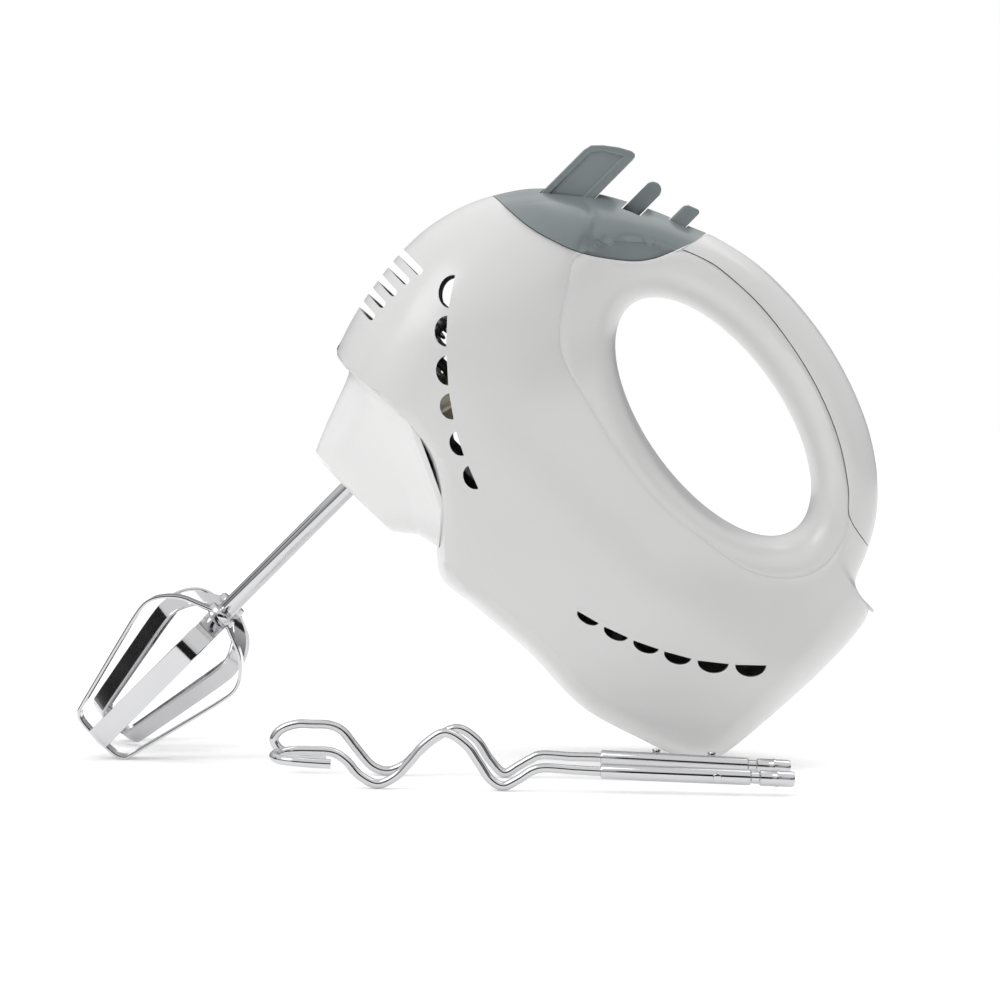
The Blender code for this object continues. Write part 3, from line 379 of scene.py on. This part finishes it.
def carved(obj, tool, operation):
    """The object after one exact Boolean with a tool shape, which is used up."""
    step = obj.modifiers.new("carve", "BOOLEAN")
    step.operation = operation
    step.solver = "EXACT"
    step.object = tool
    modifiers_kept(obj)
    bpy.data.objects.remove(tool)
    return obj


def side_slab(name, outline, low, high):
    """A side-view outline pushed out between two widths, as a tool shape."""
    bm = bmesh.new()
    verts = [bm.verts.new((x * MM, low * MM, z * MM)) for x, z in outline]
    face = bm.faces.new(verts)
    made = bmesh.ops.extrude_face_region(bm, geom=[face])
    lifted = [v for v in made["geom"] if isinstance(v, bmesh.types.BMVert)]
    bmesh.ops.translate(bm, vec=(0, (high - low) * MM, 0), verts=lifted)
    bmesh.ops.recalc_face_normals(bm, faces=bm.faces)
    return piece_of(name, bm)


def joined(name, tools):
    """Several loose shapes as one piece."""
    bm = bmesh.new()
    for tool in tools:
        bm.from_mesh(tool.data)
        bpy.data.objects.remove(tool)
    return piece_of(name, bm)


CAP_EDGE = rounded_through(
    [
        (-60, 109.4), (-36.5, 109.4), (-22, 109.8), (-11.3, 112.3), (-0.5, 116.6),
        (10.3, 124.2), (17.5, 131.4), (23, 142.2), (26.3, 154.6), (27.4, 175),
    ],
    5, False,
)
STRIP_EDGE = rounded_through(
    [
        (23.3, 142.9), (31, 145.9), (39, 147.8), (57, 148.7), (75, 146.6), (93, 142.2),
        (111, 134.8), (125.5, 125.3), (132.7, 118.6), (141.7, 116.4), (153, 115.8),
    ],
    4, False,
)


def cap_block(name, grow):
    """All that lies above and ahead of the cap's lower edge, grown by half a seam or shrunk by it."""
    line = [(p[0] + grow * 0.7, p[1] - grow * 0.7) for p in CAP_EDGE]
    return side_slab(name, line + [(-60, 175)], -70, 70)


def strip_block(name, grow):
    """All that lies above the grip strip's lower edge, grown by half a seam or shrunk by it."""
    line = [(p[0], p[1] - grow) for p in STRIP_EDGE]
    line[0] = (line[0][0] + 0.3 - grow, line[0][1])
    line[-1] = (153 + grow, line[-1][1])
    return side_slab(name, line + [(153 + grow, 175), (27.7 - grow, 175), (26.6 - grow, 154.6)], -70, 70)


def half_moon(name, x, z, flat_angle, long, deep):
    """A tool shape with one straight edge, which faces flat_angle, and a round one behind it."""
    turn = math.radians(flat_angle - 90)
    points = []
    for k in range(15):
        a = math.pi * k / 14
        px, pz = -long / 2 * math.cos(a), -deep * math.sin(a)
        across = px * math.cos(turn) - pz * math.sin(turn)
        up = px * math.sin(turn) + pz * math.cos(turn)
        points.append((x + across, z + up))
    return side_slab(name, points, -70, 70)


# Half-moon vents: the x and z of the straight edge's middle, the way it faces in degrees, its length and the depth.
VENTS = [
    (-22.8, 75.0, 34, 11.7, 4.6), (-14.3, 64.1, 43, 10.7, 4.2), (-4.5, 54.7, 48, 10.2, 4.0),
    (5.2, 46.9, 55, 9.1, 4.0), (16.4, 39.9, 63, 8.7, 3.6), (27.9, 34.9, 69, 8.7, 3.4),
    (90.4, 28.7, 105, 8.5, 2.4), (101.0, 31.9, 110, 9.1, 2.8), (111.6, 36.1, 115, 9.4, 2.9),
    (122.1, 41.3, 119, 9.9, 3.3), (132.9, 48.2, 127.5, 11.1, 3.9), (143.3, 56.7, 132, 11.2, 4.2),
]
# Nose slots: the x and z of each slot's closed end.
NOSE_SLOTS = [(-34.7, 72.0), (-35.7, 66.3), (-35.9, 60.3), (-35.9, 54.6), (-35.5, 48.9)]


def air_openings(name):
    """All the vents and nose slots, pushed through from side to side, as one tool shape."""
    tools = [half_moon("moon", *moon) for moon in VENTS]
    for x, z in NOSE_SLOTS:
        round_end = [(x - 1.2, z - 1.4), (x - 0.4, z - 1), (x, z), (x - 0.4, z + 1), (x - 1.2, z + 1.4)]
        tools.append(side_slab("slot", [(-60, z - 1.4)] + round_end + [(-60, z + 1.4)], -70, 70))
    return joined(name, tools)


# The shells' lower edge around the snout: x to the rear and z up.
UNDERSIDE = (
    (-37.6, -32, -23, -12, -1, 9.5, 18.5, 26.5, 33.5, 40, 45), (30.6, 29, 29.8, 30.3, 29.8, 27.8, 23.2, 17, 10, 3.8, 0.2)
)
# The snout's plan at shares of its height: front, rear, half width, front and rear corner radius.
SNOUT_PLANS = [
    (0, -14.5, 22, 27, 9, 9), (0.04, -17.5, 22.4, 29.2, 10, 9), (0.15, -19, 23.4, 30, 11, 9),
    (0.4, -22, 25.8, 31, 13, 9), (0.7, -25.3, 28.4, 32.7, 16, 9), (0.85, -27, 31.5, 35, 20, 9),
    (0.95, -28.3, 34.5, 38, 24, 9), (1, -29.3, 37, 40.3, 26, 9),
]


def snout_rings(grow, lift):
    """Rings from the flat face up to the shells' edge, flaring out in a hollow curve; lift carries the last one on up."""
    plans = []
    for share, front, rear, half, front_corner, rear_corner in SNOUT_PLANS:
        ring = []
        front_x, front_y = front + front_corner, half - front_corner
        rear_x, rear_y = rear - rear_corner, half - rear_corner
        for corner, cx, cy, first in (
            (rear_corner, rear_x, rear_y, 0), (front_corner, front_x, front_y, 90),
            (front_corner, front_x, -front_y, 180), (rear_corner, rear_x, -rear_y, 270),
        ):
            for k in range(9):
                a = math.radians(first + 90 * k / 8)
                ring.append((cx + (corner + grow) * math.cos(a), cy + (corner + grow) * math.sin(a)))
        plans.append((share, ring))
    tops = []
    for x, y in plans[-1][1]:
        out = min(0.98, abs(y) / half_width(x, 12))
        tops.append(float(np.interp(x, *UNDERSIDE)) + 4.5 * (1 - math.sqrt(1 - out * out)))
    rows = [[(x, y, share * top - grow) for (x, y), top in zip(ring, tops)] for share, ring in plans]
    fine = []
    for low, high in zip(rows, rows[1:]):
        for k in range(3):
            fine.append([tuple(a + (b - a) * k / 3 for a, b in zip(p, q)) for p, q in zip(low, high)])
    fine.append(rows[-1])
    fine.append([(x, y, top + lift) for (x, y), top in zip(plans[-1][1], tops)])
    return fine


def stacked(name, rows, low, high):
    """A skin over a stack of rings, closed at the ends where asked."""
    bm = bmesh.new()
    grid = [[bm.verts.new(Vector(p) * MM) for p in row] for row in rows]
    for below, above in zip(grid, grid[1:]):
        for k in range(len(below)):
            n = (k + 1) % len(below)
            bm.faces.new((below[k], below[n], above[n], above[k]))
    if low:
        bm.faces.new(list(reversed(grid[0])))
    if high:
        bm.faces.new(grid[-1])
    return piece_of(name, bm)


def round_bar(name, radius, at, length, axis, sides=40):
    """A round bar from a point along one axis."""
    bm = bmesh.new()
    bmesh.ops.create_cone(bm, cap_ends=True, segments=sides, radius1=radius * MM, radius2=radius * MM, depth=length * MM)
    bmesh.ops.translate(bm, vec=(0, 0, length * MM / 2), verts=bm.verts)
    if axis == "x":
        bm.transform(Matrix.Rotation(math.pi / 2, 4, "Y"))
    if axis == "y":
        bm.transform(Matrix.Rotation(-math.pi / 2, 4, "X"))
    bmesh.ops.translate(bm, vec=Vector(at) * MM, verts=bm.verts)
    return piece_of(name, bm)


def moulded(name, colour, rough, coat):
    """Gloss-moulded plastic: faint flow shading in the colour, fine texture in gloss and surface."""
    made = bpy.data.materials.new(name)
    made.use_nodes = True
    nodes = made.node_tree.nodes
    links = made.node_tree.links
    shader = nodes["Principled BSDF"]
    shader.inputs["Coat Weight"].default_value = coat
    shader.inputs["Coat Roughness"].default_value = 0.15
    place = nodes.new("ShaderNodeTexCoord")
    flow = nodes.new("ShaderNodeTexNoise")
    flow.inputs["Scale"].default_value = 18
    flow.inputs["Detail"].default_value = 3
    links.new(place.outputs["Object"], flow.inputs["Vector"])
    tint = nodes.new("ShaderNodeValToRGB")
    tint.color_ramp.elements[0].position = 0.3
    tint.color_ramp.elements[1].position = 0.7
    tint.color_ramp.elements[0].color = tuple(c * 0.975 for c in colour) + (1,)
    tint.color_ramp.elements[1].color = tuple(min(c * 1.015, 1) for c in colour) + (1,)
    links.new(flow.outputs["Fac"], tint.inputs["Fac"])
    links.new(tint.outputs["Color"], shader.inputs["Base Color"])
    grain = nodes.new("ShaderNodeTexNoise")
    grain.inputs["Scale"].default_value = 900
    grain.inputs["Detail"].default_value = 2
    links.new(place.outputs["Object"], grain.inputs["Vector"])
    gloss = nodes.new("ShaderNodeMapRange")
    gloss.inputs["To Min"].default_value = rough - 0.04
    gloss.inputs["To Max"].default_value = rough + 0.06
    links.new(flow.outputs["Fac"], gloss.inputs["Value"])
    links.new(gloss.outputs["Result"], shader.inputs["Roughness"])
    bump = nodes.new("ShaderNodeBump")
    bump.inputs["Strength"].default_value = 0.12
    bump.inputs["Distance"].default_value = 0.00006
    links.new(grain.outputs["Fac"], bump.inputs["Height"])
    links.new(bump.outputs["Normal"], shader.inputs["Normal"])
    return made


def settle(obj, finish, body, *stands_for, angle=35, place=mixer_place):
    """Gives a finished piece its material, smooth shading and place on its body."""
    obj.data.materials.clear()
    obj.data.materials.append(finish)
    obj.data.shade_smooth()
    obj.data.set_sharp_from_angle(angle=math.radians(angle))
    obj.data.transform(place)
    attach(obj, body)
    if stands_for:
        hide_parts(*stands_for)
    return obj


shell_white = moulded("shell_white", (0.67, 0.67, 0.665), 0.30, 0.25)
SCREWS = [(-31, 86), (10, 111), (138.5, 106), (150, 29), (62, 12)]
SNOUT_SEAM = 0.12
for label, side in (("left", -1), ("right", 1)):
    shell = skin_shell(f"shell_{label}", side, ring_groove)
    carved(shell, cap_block("cap_tool", HALF_SEAM), "DIFFERENCE")
    carved(shell, strip_block("strip_tool", HALF_SEAM), "DIFFERENCE")
    carved(shell, stacked("snout_tool", snout_rings(SNOUT_SEAM, 6), True, True), "DIFFERENCE")
    carved(shell, air_openings("air"), "DIFFERENCE")
    carved(shell, round_bar("gland_way", 4.3, (GLAND_X, 0, 90), 20, "z"), "DIFFERENCE")
    carved(shell, round_bar("gland_seat", 6.6, (GLAND_X, 0, 100), 20, "z"), "DIFFERENCE")
    if side > 0:
        carved(shell, joined("wells", [round_bar("well", 3.6, (x, 8, z), 60, "y") for x, z in SCREWS]), "DIFFERENCE")
    settle(shell, shell_white, "housing", f"housing_{label}")


# Grip strip.
# One long white moulding snaps over both shells along the top of the grip.
strip_angles = [math.radians(1 + 151 * k / 120) for k in range(121)]
strip = skin_shell("grip_strip", 0, no_relief, 9, strip_angles)
carved(strip, strip_block("strip_keep", -HALF_SEAM), "INTERSECT")
settle(strip, shell_white, "housing", "handle_cover")


# Snout.
# The narrow end piece that the beaters plug into; the shells overhang it all round. It is painted a lighter white than
# the shells, as painted light for the light that its lower faces catch.
snout = stacked("snout", snout_rings(0, 2), True, False)
thick = snout.modifiers.new("wall", "SOLIDIFY")
thick.thickness = 2 * MM
thick.offset = -1
modifiers_kept(snout)
for side in (-1, 1):
    carved(snout, round_bar("socket", 5.8, (0, side * BEATER_Y, -5), 12, "z"), "DIFFERENCE")
# Painted light: the shells' white made lighter, standing for the light that falls on the snout's lower faces.
snout_painted_lighter_white = moulded("snout_painted_lighter_white", (0.80, 0.80, 0.795), 0.30, 0.25)
settle(snout, snout_painted_lighter_white, "housing", "snout_cover")


# Control cap.
# Satin blue-grey moulding over the nose, with wells for the three controls.
# A seam outlines the bulge in front, and a shallow thumb scoop lies behind it on each side.
LOBE_EDGE = rounded_through(
    [
        (-37, 107), (-33.5, 111.9), (-26.1, 121.1), (-20, 126.3), (-15, 129.7), (-11.8, 130.8), (-8.6, 130.3),
        (-5.9, 128), (-1, 121.4), (1.5, 111.2), (2, 107),
    ],
    5, False,
)
SCOOP_EDGE = rounded_through(
    [(0.3, 119), (0.8, 124), (2.8, 127.8), (8.2, 133.8), (13.9, 138.2), (18.5, 140.4), (23.2, 141.8)], 5, False
)


def side_of(line, x, z):
    """Distance to a line in side view, and whether the point is below it."""
    best, below = 1e9, False
    for a, b in zip(line, line[1:]):
        ab = b - a
        share = min(max(((x - a.x) * ab.x + (z - a.y) * ab.y) / ab.length_squared, 0), 1)
        dx, dz = x - a.x - ab.x * share, z - a.y - ab.y * share
        gap = math.hypot(dx, dz)
        if gap < best:
            best, below = gap, ab.x * dz - ab.y * dx < 0
    return best, below


def cap_relief(x, y, z, column):
    """Depth below the plain skin: the seam's groove, the raised bulge in front and the thumb scoop behind."""
    seam, in_lobe = side_of(LOBE_EDGE, x, z)
    scoop, in_scoop = side_of(SCOOP_EDGE, x, z)
    depth = 0.8 * math.exp(-((seam / 0.9) ** 2))
    if in_lobe:
        depth -= 1.2 * ease(0.4, 3.5, seam)
    if in_scoop and x > 0:
        depth += 2.0 * ease(0, 1.8, scoop)
    return min(depth, 1.7) * ease(0.5, 7, y)


cap_angles = [math.radians(128 + 56 * k / 90) for k in range(91)]
cap = skin_shell("control_cap_skin", 0, cap_relief, 12, cap_angles)
carved(cap, cap_block("cap_keep", -HALF_SEAM), "INTERSECT")
carved(cap, side_slab("eject_well", [(-26, 105), (-10.7, 105), (-10.7, 175), (-26, 175)], -11.3, 11.3), "DIFFERENCE")
carved(cap, side_slab("lever_slot", [(-1.7, 120), (5.1, 120), (5.1, 175), (-1.7, 175)], -13.3, 13.3), "DIFFERENCE")
carved(cap, side_slab("turbo_well", [(13.1, 130), (19.7, 130), (19.7, 175), (13.1, 175)], -7.3, 7.3), "DIFFERENCE")
cap_grey = moulded("cap_grey", (0.19, 0.22, 0.225), 0.34, 0.2)
settle(cap, cap_grey, "housing", "control_cap")


# Eject button.
# A tall grey plunger in line with the beaters, its top slanted to the thumb and its sides hollowed between rims.
def softened(obj, width, segments, angle=40):
    """Rounds the edges of a piece and keeps the result."""
    rounding = obj.modifiers.new("rounding", "BEVEL")
    rounding.width = width * MM
    rounding.segments = segments
    rounding.limit_method = "ANGLE"
    rounding.angle_limit = math.radians(angle)
    return modifiers_kept(obj)


eject_side = [
    (-25.7, 112), (-25.7, 143.5), (-25.0, 146.5), (-22, 149.6), (-17.5, 153),
    (-13.5, 155.2), (-11.8, 155.4), (-11, 154.4), (-11, 112),
]
eject = side_slab("eject_plunger", eject_side, -11, 11)
for side in (-1, 1):
    low, high = sorted((side * 10.1, side * 14))
    hollow = side_slab("side_hollow", [(-23.3, 108), (-23.3, 144.6), (-20.6, 147.8), (-14, 152), (-14, 108)], low, high)
    carved(eject, hollow, "DIFFERENCE")
softened(eject, 0.7, 3)
carved(eject, side_slab("eject_stem", [(-20.5, 70.3), (-15.5, 70.3), (-15.5, 113), (-20.5, 113)], -4, 4), "UNION")
settle(eject, cap_grey, "eject", "eject_button")


# Speed lever and turbo button.
# The lever is a round-topped grey tab that slides across its slot; the turbo button is a short pad behind it.
lever_side = [(-1.3, 131)]
lever_side += [(1.7 - 3 * math.cos(math.pi * k / 12), 151.2 + 3.1 * math.sin(math.pi * k / 12)) for k in range(13)]
lever_side += [(4.7, 131)]
lever = softened(side_slab("lever_tab", lever_side, -5, 5), 0.6, 3, 50)
carved(lever, side_slab("lever_stem", [(0, 101.3), (3.4, 101.3), (3.4, 133), (0, 133)], -3, 3), "UNION")
settle(lever, cap_grey, "speed", "speed_lever")
turbo_side = [(13.5, 137), (13.5, 155), (14.4, 156.3), (18.2, 157.8), (19.3, 157), (19.3, 137)]
turbo = softened(side_slab("turbo_pad", turbo_side, -7, 7), 0.5, 3)
carved(turbo, side_slab("turbo_stem", [(14.9, 128), (17.9, 128), (17.9, 139), (14.9, 139)], -2.5, 2.5), "UNION")
settle(turbo, cap_grey, "turbo", "turbo_button")


# Beaters.
# Chromed steel: a round shaft with a latch groove, and two bent strips that cross under a collar at its end.
def metal(name, colour, rough, streak):
    """Metal with fine plating or turning variation in colour and gloss."""
    made = bpy.data.materials.new(name)
    made.use_nodes = True
    nodes = made.node_tree.nodes
    links = made.node_tree.links
    shader = nodes["Principled BSDF"]
    shader.inputs["Metallic"].default_value = 1
    place = nodes.new("ShaderNodeTexCoord")
    cloud = nodes.new("ShaderNodeTexNoise")
    cloud.inputs["Scale"].default_value = 60
    cloud.inputs["Detail"].default_value = 4
    links.new(place.outputs["Object"], cloud.inputs["Vector"])
    tint = nodes.new("ShaderNodeValToRGB")
    tint.color_ramp.elements[0].color = tuple(c * 0.93 for c in colour) + (1,)
    tint.color_ramp.elements[1].color = tuple(colour) + (1,)
    links.new(cloud.outputs["Fac"], tint.inputs["Fac"])
    links.new(tint.outputs["Color"], shader.inputs["Base Color"])
    gloss = nodes.new("ShaderNodeMapRange")
    gloss.inputs["To Min"].default_value = rough
    gloss.inputs["To Max"].default_value = rough + streak
    links.new(cloud.outputs["Fac"], gloss.inputs["Value"])
    links.new(gloss.outputs["Result"], shader.inputs["Roughness"])
    return made


chrome = metal("chrome", (0.60, 0.60, 0.61), 0.06, 0.05)


def turned(name, profile, sides=48):
    """A turned piece on the Z axis from (radius, height) points, top to bottom; a closed profile makes a ring."""
    spokes = [2 * math.pi * k / sides for k in range(sides)]
    rows = [[(r * math.cos(a), r * math.sin(a), h) for a in spokes] for r, h in reversed(profile)]
    return stacked(name, rows, True, True)


STRIP_HALF = 4
STRIP_THICK = 1.2


def cage_strip(turn, lift):
    """One bent strip: out from the collar, down the taper and across the bottom."""
    half = [
        (3.6, -64.4 - lift), (9.6, -66.8), (14.5, -69), (19, -73), (21.8, -78), (21.5, -84.3),
        (18.1, -98.5), (15.3, -109.5),
        (12.5, -120.5 + lift / 4), (11.2, -123.5 + lift / 2), (8, -125 + lift * 0.75), (0, -125.5 + lift),
    ]
    line = rounded_through(half, 6, False)
    line = [(p[0], p[1]) for p in line] + [(-p[0], p[1]) for p in reversed(line[:-1])]
    bm = bmesh.new()
    columns = []
    for across in (-STRIP_HALF, -0.9 * STRIP_HALF, 0, 0.9 * STRIP_HALF, STRIP_HALF):
        columns.append([bm.verts.new((x * MM, across * MM, z * MM)) for x, z in line])
    for a, b in zip(columns, columns[1:]):
        for k in range(len(line) - 1):
            bm.faces.new((a[k], a[k + 1], b[k + 1], b[k]))
    strip = piece_of("strip", bm)
    wall = strip.modifiers.new("wall", "SOLIDIFY")
    wall.thickness = STRIP_THICK * MM
    wall.offset = 0
    wall.use_even_offset = True
    edge = strip.modifiers.new("edge", "BEVEL")
    edge.width = 0.25 * MM
    edge.segments = 2
    edge.limit_method = "ANGLE"
    edge.angle_limit = math.radians(50)
    modifiers_kept(strip)
    strip.data.transform(Matrix.Rotation(math.radians(turn), 4, "Z"))
    return strip


for label, side, turn in (("left", -1, 0), ("right", 1, 45)):
    collar = turned("collar", [(3.2, -62.0), (5.0, -62.2), (5.4, -62.7), (5.4, -65.2), (5.0, -65.7), (3.2, -65.7)])
    cage = joined(f"cage_{label}", [cage_strip(turn, 0), cage_strip(turn + 90, 0.9), collar])
    cage.data.transform(Matrix.Translation((0, side * BEATER_Y * MM, 0)))
    settle(cage, chrome, f"beater_{label}", f"beater_cage_{label}", angle=40)
    shaft = turned(
        f"shaft_{label}",
        [
            (1.4, 53), (1.9, 52.9), (3.1, 51.4), (3.1, 45.2), (2.6, 44.4), (2.5, 44), (2.5, 42.4), (2.6, 42.1),
            (3.1, 41.4), (3.1, -65.7), (2.4, -66.7), (1.6, -66.8),
        ],
    )
    shaft.data.transform(Matrix.Translation((0, side * BEATER_Y * MM, 0)))
    settle(shaft, chrome, f"beater_{label}", f"beater_shaft_{label}")


# Eject spring.
# A steel coil around the yoke's guide rod, seated on the gear cover.
bright_steel = metal("bright_steel", (0.5, 0.5, 0.51), 0.28, 0.1)


def round_wire(name, path, radius):
    """A round wire along a line of points, as a mesh."""
    curve = bpy.data.curves.new(name, "CURVE")
    curve.dimensions = "3D"
    curve.bevel_depth = radius * MM
    curve.bevel_resolution = 6
    curve.use_fill_caps = True
    line = curve.splines.new("POLY")
    line.points.add(len(path) - 1)
    for point, where in zip(line.points, path):
        point.co = (where[0] * MM, where[1] * MM, where[2] * MM, 1)
    guide = piece(name, curve)
    bpy.context.view_layer.update()
    mesh = bpy.data.meshes.new_from_object(guide.evaluated_get(bpy.context.evaluated_depsgraph_get()))
    bpy.data.objects.remove(guide)
    return piece(name, mesh)


COIL_X = -18
COIL_R = 4.2
COIL_LOW = 56.2
COIL_TALL = 10
TURNS = 4
STEPS = 32
coil = []
for k in range(TURNS * STEPS + 1):
    turn = 2 * math.pi * k / STEPS
    height = COIL_LOW + COIL_TALL * k / (TURNS * STEPS)
    coil.append((COIL_X + COIL_R * math.cos(turn), COIL_R * math.sin(turn), height))
spring = round_wire("eject_coil", coil, 0.5)
settle(spring, bright_steel, "housing", "eject_spring")
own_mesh(spring)


# Cord gland.
# White bush in the grip's heel, pressed into both shells, its flange flush with them and open for a cord.
gland_profile = [
    (2.6, 101.4), (5.5, 101.4), (6.1, 101.2), (6.2, 100.9), (6.2, 100.3), (4, 100.2), (4, 91), (2.6, 91),
]
gland = turned("gland_bush", gland_profile)
carved(gland, round_bar("cord_way", 2.4, (0, 0, 85), 25, "z"), "DIFFERENCE")
gland.data.transform(Matrix.Translation((GLAND_X * MM, 0, 0)))
settle(gland, shell_white, "housing", "cord_gland")


# Kneading hooks.
# Each is a chromed rod bent in waves with a turned-back end, fixed in a round drive sleeve with two lugs.
hooks_place = Matrix.Translation((-0.0650, 0.0291, 0))
ROD_R = 1.6


def hook(label, left, right, bends, lug_places):
    """One hook: its sleeve from left to right, and its rod on from there through its bends."""
    left, right = Vector(left), Vector(right)
    along = (right - left).normalized()
    length = (right - left).length
    sleeve = turned(
        "sleeve",
        [
            (2.0, length), (2.3, length - 0.1), (2.65, length - 0.9), (2.65, length - 5.2), (2.85, length - 5.5),
            (2.85, length - 6.1), (2.65, length - 6.4), (2.65, length - 11.4), (2.0, length - 12),
            (2.0, length - 14.4), (2.65, length - 15), (2.65, 0.7), (2.4, 0.2), (1.9, 0),
        ],
    )
    lugs = []
    for at, facing in lug_places:
        lug = softened(round_bar("lug", 1.5, (2.2, 0, 0), 1.8, "x", 24), 0.4, 3)
        lug.data.transform(Matrix.Translation((0, 0, at * MM)))
        lug.data.transform(Matrix.Rotation(math.radians(facing), 4, "Z"))
        lugs.append(lug)
    body = joined(f"sleeve_{label}", [sleeve] + lugs)
    body.data.transform(Vector((0, 0, 1)).rotation_difference(along).to_matrix().to_4x4())
    body.data.transform(Matrix.Translation(left * MM))
    settle(body, chrome, f"hook_{label}", f"hook_sleeve_{label}", place=hooks_place)
    path = [left + along * 3] + [left - along * 2] + rounded_through(bends, 10, False)
    rod = round_wire(f"rod_{label}", path, ROD_R)
    settle(rod, chrome, f"hook_{label}", f"hook_rod_{label}", place=hooks_place)


near = -86.0
hook(
    "near", (106.4, near, 7.2), (171.4, near, 5.6),
    [
        (97.5, near, 7.5), (88, near, 8), (83.5, near, 6.9), (79.1, near, 4), (74, near, 1.65), (69.5, near, 4),
        (65.5, near, 9.7), (61.2, near, 15.4), (54.3, near, 19.2), (47.6, near, 15.2),
        (42.5, near, 9.1), (37.8, near, 4.2),
        (31.9, near, 1.65), (25.9, near, 4.4), (21.4, near, 9.2), (16.7, near, 12),
        (10, near, 12.4), (4, near, 12.3), (-0.6, near - 2.6, 12), (-2.4, near - 7.3, 11.5), (-0.6, near - 12, 11),
        (4, near - 14.6, 10.7), (10, near - 14.6, 10.3), (17, near - 14.6, 10),
    ],
    [(18.3, 90), (39, -90)],
)
far = -54.0
hook(
    "far", (107.4, far, 7.6), (172.9, far, 5.2),
    [
        (97, far, 7.7), (87.3, far, 8.1), (83, far, 6.4), (79.3, far, 4.2), (74.2, far, 1.65), (69.2, far, 6.4),
        (64.6, far, 13), (57.8, far, 16.8), (50, far, 13), (44.5, far, 8.2), (39.7, far, 3.7),
        (34, far, 1.65), (28.4, far, 3.6), (22.9, far, 9.8), (18.4, far, 15.2),
        (13.9, far, 17.2), (8, far, 17.4), (2.6, far, 17.3), (-2.6, far, 15.4), (-5.1, far, 12), (-3.4, far, 8.8),
        (1.4, far, 6.8), (7, far, 6.5), (13, far, 6.6),
    ],
    [(19.2, 165), (38.3, 165)],
)


# Motor, drive, switches and screws.
# These inner pieces keep the shapes that they have in the frame: steel shafts and screws, sintered bearings,
# varnished copper coils, stacked sheet cores, nylon wheels, die castings and black mouldings.
finishes = {
    "grey_plastic": cap_grey,
    "white_plastic": shell_white,
    "black_plastic": moulded("black_moulding", (0.02, 0.02, 0.02), 0.45, 0),
    "chromed_steel": chrome,
    "steel": bright_steel,
    "nylon": moulded("nylon", (0.72, 0.68, 0.56), 0.45, 0),
    "bronze": metal("sintered_bronze", (0.55, 0.38, 0.2), 0.35, 0.1),
    "copper": metal("varnished_copper", (0.6, 0.25, 0.12), 0.3, 0.1),
    "lamination": metal("lamination", (0.22, 0.22, 0.23), 0.45, 0.1),
    "carbon": moulded("carbon", (0.02, 0.02, 0.02), 0.6, 0),
    "zinc": metal("die_cast_zinc", (0.45, 0.46, 0.47), 0.45, 0.1),
}
for part in frame["record"]["subparts"]:
    node = frame["nodes"].get(part["node"])
    if node is not None:
        node.data.materials.clear()
        node.data.materials.append(finishes[part["material_slot"]])
